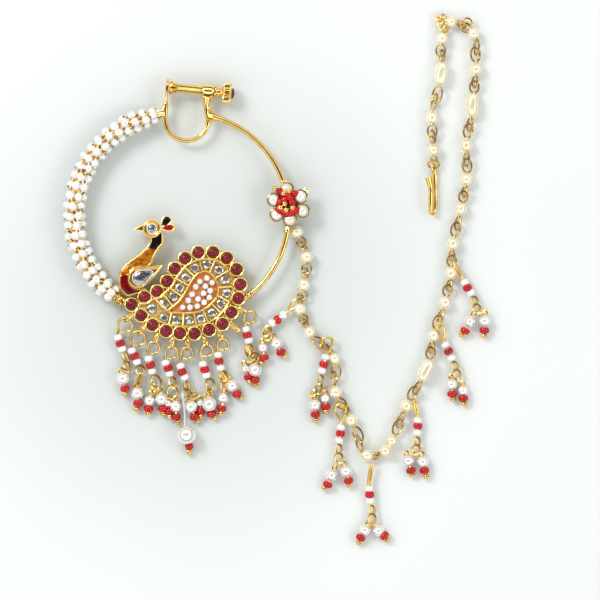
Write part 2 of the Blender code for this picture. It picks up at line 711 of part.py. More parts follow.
def crystal_ring(look, curves):
    """Foil bed in the channel with sixteen cut crystals: a table and eight crown facets each."""
    rim, crystals, tray = curves
    crest = PLATE_BACK + RIDGE_HEIGHT
    bottom = crest - TRAY_DEPTH - BED_THICKNESS
    outer = inner_row(rim, tray, from_rim=RIDGE_INSET + RIDGE_WIDTH / 2 + BED_CLEARANCE)
    inner = inner_row(rim, tray, from_tray=-RIDGE_WIDTH / 2 - BED_CLEARANCE)
    count = CURVE_STATIONS
    points = [flat(point, z) for z, row in ((bottom, inner), (bottom, outer), (crest - TRAY_DEPTH, outer),
                                            (crest - TRAY_DEPTH, inner)) for point in row]
    bed = (points, [tuple(reversed(face)) for face in loop_faces(4, count)])
    shapes = [bed]
    for place, _ in even_stations(crystals, CRYSTAL_COUNT):
        start = flat(place, crest - TRAY_DEPTH - BED_THICKNESS / 2)
        shapes.append(turned(((0, CRYSTAL_RADIUS), (CRYSTAL_HEIGHT, CRYSTAL_RADIUS * 0.55)), start, UP, 8))
    return fused("crystal_ring", shapes, look)


def tray_floor(look, rim, tray):
    """Thin floor of the tray inside the ring of crystals."""
    top = PLATE_BACK + RIDGE_HEIGHT - TRAY_DEPTH
    outline = inner_row(rim, tray, from_tray=RIDGE_WIDTH / 2 + BED_CLEARANCE)
    make_object("tray_floor", prism(anticlockwise(outline), top - BED_THICKNESS, top), look)


def peacock_stones(clear, orange, black, red):
    bottom = PLATE_BACK + 2 * GAP + BASE_THICKNESS + GAP
    top = bottom + ENAMEL_THICKNESS
    bezel_top = PLATE_BACK + RIDGE_HEIGHT + 2 * GAP
    make_object("neck_band", neck_strip(*BAND_ROWS, ENAMEL_INSET, bottom, top), black)
    make_object("neck_enamel", neck_strip(*NECK_ROWS, ENAMEL_INSET, bottom, top), orange)
    make_object("belly_enamel", neck_strip(*BELLY_ROWS, ENAMEL_INSET, bottom, top), red)
    make_object("eye_stone", turned(((0, EYE_RADIUS), (0.0003, EYE_RADIUS), (0.0006, EYE_RADIUS * 0.6)),
                                    flat(plate_point(HEAD_AT), bezel_top), UP, 8), clear)
    middle = plate_point(WING_STONE_AT)
    tip = middle + (plate_point(WING_TIP) - middle) * 0.62
    rows = []
    for share, z in ((1.0, bezel_top + GAP), (1.0, bezel_top + 0.0004), (0.6, bezel_top + 0.0008)):
        outline = anticlockwise(teardrop(middle, WING_STONE_RADIUS, tip, 12))
        centre = sum(outline, Vector((0, 0, 0))) / len(outline)
        rows.append([flat(centre + (point - centre) * share, z) for point in outline])
    make_object("wing_stone", lofted(rows), clear)
    crest_bottom = bottom - GAP
    drop = disc(plate_point(CREST_DROP_AT), CREST_RADIUS * 0.72)
    make_object("crest_drop", prism(drop, crest_bottom, crest_bottom + ENAMEL_THICKNESS), black)
    leaf = teardrop(plate_point(CREST_LEAF_AT), CREST_RADIUS * 0.6,
                    plate_point(CREST_LEAF_AT) + (plate_point(CREST_TIP) - plate_point(CREST_LEAF_AT)) * 0.75, 10)
    make_object("crest_leaf", prism(anticlockwise(leaf), crest_bottom - GAP, crest_bottom + ENAMEL_THICKNESS), red)


def lofted(rows):
    count = len(rows[0])
    points = [point for row in rows for point in row]
    last = (len(rows) - 1) * count
    faces = [tuple(reversed(range(count))), tuple(range(last, last + count))]
    for row in range(len(rows) - 1):
        for k in range(count):
            after = (k + 1) % count
            faces.append((row * count + k, row * count + after, (row + 1) * count + after, (row + 1) * count + k))
    return points, faces


# Drops and chain

def pearl_sections(centre, axis, half_length, radius, neck):
    """Sections of a pearl along its own axis, with the wire's size at both ends."""
    axis = axis.normalized()
    reach = half_length * math.sqrt(1 - (neck / radius) ** 2)
    rows = ((-reach, neck), (-0.42 * half_length, 0.93 * radius), (0.42 * half_length, 0.93 * radius), (reach, neck))
    return [(centre + axis * along, axis, size) for along, size in rows]


def drop_string(start, drop, centre):
    """Wire, pearl, seed bead and ball of one drop."""
    axis = heading(drop.heading)
    tail = centre + axis * DROP_RADIUS
    sections = [(start, centre - start, STEM_WIRE)]
    sections += pearl_sections(centre, axis, DROP_RADIUS, DROP_RADIUS, STEM_WIRE * 1.5)
    sections += [(tail + axis * (TIP_LENGTH * 0.35), axis, DROP_RADIUS * 0.8),
                 (tail + axis * TIP_LENGTH, axis, STEM_WIRE * 1.5)]
    return skin(sections)


def seed_string(start, lean, begin, link, rise, fall):
    """Stem, seed beads as one tube, and the tube of the links down to where the drops hang."""
    along = (heading(lean) - UP * ((rise - fall) / SEEDS_LENGTH)).normalized()
    top = flat(begin, rise)
    end = top + along * SEEDS_LENGTH
    return skin([(start, top - start, STEM_WIRE), (top, along, SEED_RADIUS * 0.8),
                 (top + along * (SEEDS_LENGTH * 0.1), along, SEED_RADIUS), (end, along, SEED_RADIUS * 0.9),
                 (link, link - end, LINK_RADIUS)])


def plate_drops(look, cups):
    gaps = cup_gaps(cups)
    for number, row in enumerate(PLATE_DROPS, 1):
        out = heading(row.loop)
        eye = flat(gaps[row.cup], HOOP_LEVEL - EYE_SAG) + out * EYE_REACH
        slope = math.asin(EYE_SAG / EYE_RING)
        long_axis = out * math.cos(slope) - UP * math.sin(slope)
        side = heading(row.loop + 90)
        start = eye + heading(STEM_SIDE) * EYE_RING
        start.z = eye.z - math.tan(slope) * (start - eye).dot(out)
        begin = eye + Vector((*STEM_RUN, 0))
        rise, fall = DROP_RADIUS + 0.0005, SEED_RADIUS + GAP
        end = flat(begin) + heading(row.lean) * SEEDS_LENGTH
        link = flat(end, DROP_RADIUS) + flat(row.link)
        shapes = [seed_string(start, row.lean, begin, link, rise, fall),
                  ring(eye, long_axis, side, EYE_RING, EYE_RING, EYE_WIRE)]
        for drop in row.drops:
            centre = flat(link, DROP_RADIUS + GAP) + Vector((drop.x, drop.y, 0))
            shapes.append(drop_string(link, drop, centre))
        fused(f"plate_dangle_{number}", shapes, look)


def centre_drop(look):
    """Larger pearl on a long wire whose ring hangs behind the fifth drop's link."""
    top, bend, centre = (flat(point, BIG_PEARL_RADIUS) for point in CENTRE_DROP)
    top.z = DROP_RADIUS + 0.0016
    bend.z = DROP_RADIUS + 0.0012
    axis = heading(-80)
    tail = centre + axis * BIG_PEARL_RADIUS
    sections = [(top, bend - top, STEM_WIRE), (bend, centre - top, STEM_WIRE)]
    sections += pearl_sections(centre, axis, BIG_PEARL_RADIUS, BIG_PEARL_RADIUS, STEM_WIRE * 2)
    sections += [(tail + axis * (TIP_LENGTH * 0.35), axis, SEED_RADIUS), (tail + axis * TIP_LENGTH, axis, STEM_WIRE)]
    size = EYE_RING * 0.6
    eye = ring(top + Vector((0, size, 0)), Vector((0, 1, 0)), UP, size, size, EYE_WIRE)
    return fused("centre_drop", [skin(sections), eye], look)


def chain_pearls():
    """Centre and axis of each pearl along the route."""
    points = [Vector((row.x, row.y, CHAIN_PEARL)) for row in CHAIN_ROUTE]
    dense = smooth_curve(points, False)
    steps = (len(dense) - 1) // (len(points) - 1)
    places = []
    for number, row in enumerate(CHAIN_ROUTE):
        for k in range(row.pearls):
            index = number * steps + round(steps * k / row.pearls)
            ahead = dense[min(index + 1, len(dense) - 1)]
            before = dense[max(index - 1, 0)]
            places.append((dense[index], (ahead - before).normalized()))
    return places, dense[-1]


def chain_string(name, pearls, first, head, tail, look, extra=()):
    sections = list(head)
    for number, (place, axis) in enumerate(pearls, first):
        long_one = number in LONG_PEARLS
        sections += pearl_sections(place, axis, LONG_PEARL if long_one else CHAIN_PEARL, CHAIN_PEARL, CHAIN_LINK)
    sections += list(tail)
    return fused(name, [skin(sections), *extra], look, "MANIFOLD")


def chain(look):
    places, end = chain_pearls()
    root = hoop_point(1, HOOP_RING_ANGLE)
    inner = HOOP_WIRE + JOIN_GAP + EYE_WIRE
    out = heading(HOOP_RING_ANGLE)
    hoop_ring = ring(root, out, UP, inner, inner, EYE_WIRE)
    start = root + (out - UP).normalized() * inner
    head = [(start, places[0][0] - start, EYE_WIRE * 0.9)]
    last, after = places[CHAIN_SPLIT - 1], places[CHAIN_SPLIT]
    middle = (last[0] + after[0]) / 2
    along = (after[0] - last[0]).normalized()
    chain_string("chain_lower", places[:CHAIN_SPLIT], 0, head, [(middle - along * GAP, along, CHAIN_LINK)], look,
                 [hoop_ring])
    hook_ring = ring(end - Vector((0, HOOK_EYE, 0)), Vector((0, 1, 0)), Vector((1, 0, 0)), HOOK_EYE, HOOK_EYE,
                     EYE_WIRE)
    chain_string("chain_upper", places[CHAIN_SPLIT:], CHAIN_SPLIT, [(middle + along * GAP, along, CHAIN_LINK)],
                 [(end, end - places[-1][0], EYE_WIRE * 0.9)], look, [hook_ring])
    return places


def chain_drops(look, places):
    for number, row in enumerate(CHAIN_DROPS, 1):
        here, after = places[row.pearl][0], places[row.pearl + 1][0]
        along = (after - here).normalized()
        middle = (here + after) / 2
        begin = flat(row.start)
        side = (begin - flat(middle)).normalized()
        normal = (along + UP * 0.6).normalized()
        long_axis = (side - side.dot(normal) * normal).normalized()
        short_axis = normal.cross(long_axis)
        eye = ring(middle + long_axis * (DROP_RING * 0.15), long_axis, short_axis, DROP_RING, DROP_RING, EYE_WIRE)
        start = middle + long_axis * (DROP_RING * 1.15)
        rise, fall = SEED_RADIUS + 0.0002, SEED_RADIUS + GAP
        link = flat(row.link, DROP_RADIUS)
        shapes = [seed_string(start, row.lean, begin, link, rise, fall), eye]
        for drop in row.drops:
            shapes.append(drop_string(link, drop, Vector((drop.x, drop.y, DROP_RADIUS + GAP))))
        fused(f"chain_dangle_{number}", shapes, look)


def hair_hook(look, end):
    route = smooth_curve([Vector(point) for point in HOOK_ROUTE], False, 2)
    radii = [HOOK_WIRE] * (len(route) - 1) + [HOOK_WIRE * 1.4]
    top = route[0]
    eye = ring(top + Vector((0, HOOK_EYE * 0.4, HOOK_EYE * 0.55)), Vector((0, 1, 0)), UP, HOOK_EYE * 0.9, HOOK_EYE,
               HOOK_EYE_WIRE)
    return fused("hair_hook", [tube(route, radii, 8), eye], look)


# Flower

def flower(gold, red):
    middle = flat(hoop_point(1, FLOWER_ANGLE), HOOP_LEVEL + HOOP_WIRE + GAP)
    top = middle.z + FLOWER_BASE_HEIGHT
    shapes = [prism(disc(middle, FLOWER_BASE_RADIUS, ROUND), middle.z, top)]
    for petal in range(FLOWER_PETALS):
        place = middle + heading(FLOWER_TURN + 360 * petal / FLOWER_PETALS) * PETAL_REACH
        shapes.append(prism(disc(place, PETAL_RADIUS), middle.z + GAP, top + GAP))
        shapes.append(dome(place, PETAL_PEARL, top, PETAL_HEIGHT))
    fused("flower_setting", shapes, gold)
    make_object("flower_centre", dome(middle, CLUSTER_RADIUS, top + GAP, CLUSTER_HEIGHT), red)


def lay_down():
    """Carries the whole to its origin: the middle of its footprint, on the surface that it lies on."""
    bpy.context.view_layer.update()
    corners = [item.matrix_world @ Vector(corner) for item in bpy.data.objects if item.type == "MESH"
               for corner in item.bound_box]
    low = Vector([min(corner[axis] for corner in corners) for axis in range(3)])
    high = Vector([max(corner[axis] for corner in corners) for axis in range(3)])
    base = bpy.data.objects.new("laid_flat", None)
    bpy.context.collection.objects.link(base)
    for item in list(bpy.data.objects):
        if item.parent is None and item is not base:
            item.parent = base
    base.location = (-(low.x + high.x) / 2, -(low.y + high.y) / 2, -low.z)
    bpy.context.view_layer.update()


def main():
    clear_scene()
    gold = material("gold", (0.83, 0.58, 0.22), 1.0, 0.22)
    copper = material("copper", (0.80, 0.42, 0.16), 1.0, 0.35)
    pearl = material("pearl", (0.93, 0.90, 0.84), 0.0, 0.25)
    ruby = material("ruby", (0.40, 0.01, 0.08), 0.0, 0.12)
    crystal = material("crystal", (0.85, 0.88, 0.90), 0.2, 0.08)
    orange = material("orange_enamel", (0.80, 0.30, 0.03), 0.0, 0.2)
    black = material("black_enamel", (0.01, 0.01, 0.01), 0.0, 0.12)
    red = material("red_enamel", (0.35, 0.01, 0.02), 0.0, 0.15)
    curves = plate_curves()
    cups = even_stations(curves[0], RUBY_COUNT)
    hoop_frame(gold, cups[0][0], cups[9][0])
    pearl_sleeve(pearl)
    clamp_parts(gold, red)
    pendant_plate(gold, curves, cups)
    rubies(ruby, cups)
    crystal_ring(crystal, curves)
    tray_floor(copper, curves[0], curves[2])
    peacock_stones(crystal, orange, black, red)
    plate_drops(pearl, cups)
    centre_drop(pearl)
    flower(gold, red)
    places = chain(pearl)
    chain_drops(pearl, places)
    hair_hook(gold, places[-1][0])
    lay_down()


main()
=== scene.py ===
import math
import bpy
import numpy as np
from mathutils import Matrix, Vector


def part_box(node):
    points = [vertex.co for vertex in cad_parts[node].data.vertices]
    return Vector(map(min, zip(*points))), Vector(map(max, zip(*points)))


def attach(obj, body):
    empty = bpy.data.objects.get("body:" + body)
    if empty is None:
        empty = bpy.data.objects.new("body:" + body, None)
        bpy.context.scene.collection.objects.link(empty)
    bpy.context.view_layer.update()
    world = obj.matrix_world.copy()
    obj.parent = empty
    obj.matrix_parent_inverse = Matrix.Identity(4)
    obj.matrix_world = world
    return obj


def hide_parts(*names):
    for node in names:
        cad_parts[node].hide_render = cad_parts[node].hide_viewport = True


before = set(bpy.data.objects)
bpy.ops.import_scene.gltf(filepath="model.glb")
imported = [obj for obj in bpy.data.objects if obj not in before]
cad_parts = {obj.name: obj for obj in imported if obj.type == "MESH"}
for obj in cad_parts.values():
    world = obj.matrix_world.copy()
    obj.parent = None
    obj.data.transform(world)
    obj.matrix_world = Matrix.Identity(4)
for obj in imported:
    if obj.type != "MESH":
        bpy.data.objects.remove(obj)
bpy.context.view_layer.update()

print("nath: frame loaded")

# Places are measured from the hoop's centre, a quarter of a millimetre for each point of the table's grid
gridStep = 0.00025
gridCentre = (181.5, 215.0)
hoop = {"radius": 0.0254, "spread": 0.00275, "wire": 0.00065, "level": 0.0030, "binding": 0.00026}
flowerSeat = np.array([hoop["spread"] / 2 + hoop["radius"] * math.cos(math.radians(5.3)),
                       hoop["radius"] * math.sin(math.radians(5.3)), 0.00445])
flowerBox = np.array(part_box("flower_centre"))
carry = np.array([flowerBox[:, 0].mean(), flowerBox[:, 1].mean(), flowerBox[0, 2]]) - flowerSeat
upward = np.array([0.0, 0.0, 1.0])
rng = np.random.default_rng(7)
sharpAngle = 40


def spot(x, y, z=0.0):
    # Point of the grid in metres: step times (x - centre, centre - y), at height z.
    return np.array([(x - gridCentre[0]) * gridStep, (gridCentre[1] - y) * gridStep, z])


def spots(rows, z=0.0):
    # Grid points at one height, or at the height that a row gives.
    return np.array([spot(*row, z) if len(row) == 2 else spot(*row) for row in rows])


def unit(v):
    v = np.asarray(v, float)
    return v / np.maximum(np.linalg.norm(v, axis=-1, keepdims=True), 1e-12)


def heading(degrees):
    # Level direction: (cos u, sin u, 0).
    turn = math.radians(degrees)
    return np.array([math.cos(turn), math.sin(turn), 0.0])


def perpendicular(axis):
    # Unit vector across an axis.
    other = np.array([1.0, 0, 0]) if abs(axis[0]) < 0.8 else np.array([0, 1.0, 0])
    return unit(np.cross(axis, other))


# Surfaces

def gridFaces(rows, columns, closed=False):
    # Quads between rows of rings; closed joins the last ring to the first
    r = np.arange(rows if closed else rows - 1)[:, None]
    c = np.arange(columns)[None, :]
    nextRow, nextColumn = (r + 1) % rows, (c + 1) % columns
    cells = [r * columns + c, r * columns + nextColumn, nextRow * columns + nextColumn, nextRow * columns + c]
    return np.stack(np.broadcast_arrays(*cells), axis=-1).reshape(-1, 4).tolist()


def capped(grid):
    # Rows of rings joined by quads, with a flat cap on the first and the last ring.
    rows, columns = grid.shape[:2]
    faces = gridFaces(rows, columns)
    faces.append(list(range(columns))[::-1])
    faces.append(list(range((rows - 1) * columns, rows * columns)))
    return grid.reshape(-1, 3), faces


def smoothPath(points, perSpan=8, closed=False):
    # Cubic through the points: 0.5 (2b + (c-a)t + (2a-5b+4c-d)t2 + (3b-a-3c+d)t3) on each span b to c.
    p = np.asarray(points, float)
    if closed:
        q = np.concatenate([p[-1:], p, p[:2]])
    else:
        q = np.concatenate([2 * p[:1] - p[1:2], p, 2 * p[-1:] - p[-2:-1]])
    a, b, c, d = (q[k:len(q) - 3 + k, None] for k in range(4))
    t = (np.arange(perSpan) / perSpan)[None, :, None]
    curve = 0.5 * (2 * b + (c - a) * t + (2 * a - 5 * b + 4 * c - d) * t ** 2 + (3 * b - a - 3 * c + d) * t ** 3)
    curve = curve.reshape(-1, 3)
    return curve if closed else np.concatenate([curve, p[-1:]])


def frames(path, closed=False):
    # Directions along a path and two across it that turn with it as little as possible.
    if closed:
        along = unit(np.roll(path, -1, axis=0) - np.roll(path, 1, axis=0))
    else:
        along = unit(np.gradient(path, axis=0))
    across = np.empty_like(along)
    side = perpendicular(along[0])
    for k, direction in enumerate(along):
        side = unit(side - direction * side.dot(direction))
        across[k] = side
    return along, across, np.cross(along, across)


def wire(path, radius, sides=10, closed=False):
    # Circle of a radius carried along the path: P = path + r (across cos v + other sin v).
    path = np.asarray(path, float)
    along, across, other = frames(path, closed)
    v = np.linspace(0, 2 * math.pi, sides, endpoint=False)[None, :, None]
    size = np.broadcast_to(np.asarray(radius, float), (len(path),))[:, None, None]
    grid = path[:, None] + size * (across[:, None] * np.cos(v) + other[:, None] * np.sin(v))
    if closed:
        return grid.reshape(-1, 3), gridFaces(len(path), sides, closed=True)
    return capped(grid)


def turnedSolid(profile, centre, axis, sides=20, ripple=0.0, ripples=0):
    # Profile of (along, radius) turned about an axis; the ripple makes radius (1 + ripple cos(ripples v)).
    profile = np.asarray(profile, float)
    axis = unit(axis)
    across = perpendicular(axis)
    other = np.cross(axis, across)
    v = np.linspace(0, 2 * math.pi, sides, endpoint=False)[None, :, None]
    size = profile[:, 1][:, None, None] * (1 + ripple * np.cos(ripples * v))
    middles = np.asarray(centre) + axis * profile[:, :1]
    grid = middles[:, None] + size * (across * np.cos(v) + other * np.sin(v))
    return capped(grid)


def bead(centre, axis, radius, halfLength=None, power=2.0, hole=0.22, rows=8, sides=14):
    # Turned bead: r = radius (1 - |t|^power)^(1/power), with t from end to end, cut where r meets the hole.
    halfLength = radius if halfLength is None else halfLength
    limit = (1 - hole ** power) ** (1 / power)
    t = np.sin(np.linspace(-1, 1, rows) * math.asin(limit))
    r = radius * (1 - np.abs(t) ** power) ** (1 / power)
    return turnedSolid(np.stack([t * halfLength, r], axis=1), centre, axis, sides)


def oddPearl(centre, axis, radius, halfLength, seed, rows=12, sides=18):
    # Bead whose radius swells and dips: r (1 + sum of three low waves in v and t).
    points, faces = bead(centre, axis, radius, halfLength, 2.2 if halfLength < 1.4 * radius else 3.2, 0.2, rows, sides)
    local = np.random.default_rng(seed)
    offset = (points - centre) / radius
    dent = np.zeros(len(points))
    for _ in range(3):
        direction = unit(local.normal(size=3))
        dent += 0.035 * np.sin(offset @ direction * local.uniform(1.5, 3.0) + local.uniform(0, 6))
    return centre + (points - centre) * (1 + dent)[:, None], faces


def ringPath(centre, along, halfLength, halfWidth, tilt=0.0, steps=28, taper=0.0):
    # Loop: centre + along a cos u + side b sin u (1 - taper cos u), turned about its long way by the tilt.
    along = unit(along)
    flatSide = unit(np.cross(upward, along)) if abs(along[2]) < 0.95 else np.array([1.0, 0, 0])
    normal = np.cross(along, flatSide)
    turn = math.radians(tilt)
    side = flatSide * math.cos(turn) + normal * math.sin(turn)
    u = np.linspace(0, 2 * math.pi, steps, endpoint=False)[:, None]
    return centre + along * halfLength * np.cos(u) + side * halfWidth * np.sin(u) * (1 - taper * np.cos(u))


def coilPath(start, end, radius, turns, perTurn=12):
    # Helix about the straight line from start to end.
    start, end = np.asarray(start, float), np.asarray(end, float)
    axis = unit(end - start)
    across = perpendicular(axis)
    other = np.cross(axis, across)
    share = np.linspace(0, 1, int(turns * perTurn) + 1)[:, None]
    u = share * 2 * math.pi * turns
    return start + (end - start) * share + radius * (across * np.cos(u) + other * np.sin(u))


def filletedPlate(outline, bottom, top, edge):
    # Outline lifted from bottom to top, its upper edge rounded by drawing the outline in.
    outline = np.asarray(outline, float)
    along = unit(np.roll(outline, -1, axis=0) - np.roll(outline, 1, axis=0))
    inward = np.cross(upward, along)
    rows = []
    for share in (0.0, 0.35, 0.75, 1.0):
        turn = share * math.pi / 2
        rows.append(outline + inward * edge * (1 - math.cos(turn)) + upward * (top - edge + edge * math.sin(turn)))
    low = outline + upward * bottom
    return capped(np.stack([low] + rows))


class Piece:
    # Surfaces with their finishes, kept until they make one mesh
    def __init__(self, name):
        self.name = name
        self.points, self.faces, self.picks, self.smooth, self.finishes = [], [], [], [], []
        self.count = 0

    def add(self, shape, look="gold", smooth=True):
        points, faces = shape
        if look not in self.finishes:
            self.finishes.append(look)
        self.points.append(points)
        self.faces += [[k + self.count for k in face] for face in faces]
        self.picks += [self.finishes.index(look)] * len(faces)
        self.smooth += [smooth] * len(faces)
        self.count += len(points)

    def wire(self, path, radius, sides=10, closed=False, look="gold"):
        self.add(wire(path, radius, sides, closed), look)

    def ring(self, radius, sides, *loop, look="gold", **shape):
        self.wire(ringPath(*loop, **shape), radius, sides, True, look)

    def finish(self, body, slot, *nodes):
        mesh = bpy.data.meshes.new(self.name)
        mesh.from_pydata((np.concatenate(self.points) + carry).tolist(), [], self.faces)
        for look in self.finishes:
            mesh.materials.append(looks[look])
        mesh.polygons.foreach_set("material_index", self.picks)
        mesh.polygons.foreach_set("use_smooth", self.smooth)
        mesh.update()
        mesh.set_sharp_from_angle(angle=math.radians(sharpAngle))
        thing = bpy.data.objects.new(self.name, mesh)
        bpy.context.collection.objects.link(thing)
        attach(thing, body)
        if nodes:
            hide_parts(*nodes)
        print("nath:", self.name, len(mesh.polygons), "faces")


# Finishes

def addNode(tree, kind, inputs=None, **settings):
    # Node whose inputs are linked where a socket is given and set where a value is
    made = tree.nodes.new("ShaderNode" + kind)
    for label, value in settings.items():
        setattr(made, label, value)
    for label, value in (inputs or {}).items():
        if isinstance(value, bpy.types.NodeSocket):
            tree.links.new(value, made.inputs[label])
        else:
            made.inputs[label].default_value = value
    return made


def mottleGroup():
    # Two colours mixed by noise, with the noise itself and a finer one for height
    group = bpy.data.node_groups.new("mottle", "ShaderNodeTree")
    for label, kind, value in (("Scale", "Float", 400.0), ("Light", "Color", (1, 1, 1, 1)),
                               ("Dark", "Color", (0, 0, 0, 1)), ("Low", "Float", 0.4), ("High", "Float", 0.6)):
        group.interface.new_socket(label, in_out="INPUT", socket_type="NodeSocket" + kind).default_value = value
    for label, kind in (("Color", "Color"), ("Mask", "Float"), ("Height", "Float")):
        group.interface.new_socket(label, in_out="OUTPUT", socket_type="NodeSocket" + kind)
    start = group.nodes.new("NodeGroupInput").outputs
    place = addNode(group, "TexCoord").outputs["Object"]
    coarse = addNode(group, "TexNoise", {"Vector": place, "Scale": start["Scale"], "Detail": 3})
    finer = addNode(group, "Math", {0: start["Scale"], 1: 3.7}, operation="MULTIPLY")
    fine = addNode(group, "TexNoise", {"Vector": place, "Scale": finer.outputs[0], "Detail": 2})
    mask = addNode(group, "MapRange", {"Value": coarse.outputs["Fac"], "From Min": start["Low"],
                                       "From Max": start["High"]})
    colour = addNode(group, "Mix", data_type="RGBA",
                     inputs={"Factor": mask.outputs["Result"], "A": start["Dark"], "B": start["Light"]})
    end = group.nodes.new("NodeGroupOutput").inputs
    for label, socket in (("Color", colour.outputs["Result"]), ("Mask", mask.outputs["Result"]),
                          ("Height", fine.outputs["Fac"])):
        group.links.new(socket, end[label])
    return group


mottle = mottleGroup()


def finish(name, light, dark, scale, metallic, rough, bump=0.0, bumpDepth=0.00003, bounds=(0.3, 0.7), coat=0.0,
           ior=1.5, sheen=0.5):
    # One material: mottled colour, roughness between two values and a fine bump, on the piece's own coordinates
    made = bpy.data.materials.new(name)
    made.use_nodes = True
    tree = made.node_tree
    shader = tree.nodes["Principled BSDF"].inputs
    grain = addNode(tree, "Group", node_tree=mottle,
                    inputs={"Scale": scale, "Light": (*light, 1), "Dark": (*dark, 1),
                            "Low": bounds[0], "High": bounds[1]})
    gloss = addNode(tree, "MapRange", {"Value": grain.outputs["Mask"], "To Min": rough[1], "To Max": rough[0]})
    tree.links.new(grain.outputs["Color"], shader["Base Color"])
    tree.links.new(gloss.outputs["Result"], shader["Roughness"])
    for label, value in (("Metallic", metallic), ("IOR", ior), ("Specular IOR Level", sheen), ("Coat Weight", coat),
                         ("Coat Roughness", 0.06)):
        shader[label].default_value = value
    if bump:
        rise = addNode(tree, "Bump", {"Strength": bump, "Distance": bumpDepth, "Height": grain.outputs["Height"]})
        tree.links.new(rise.outputs["Normal"], shader["Normal"])
    return made


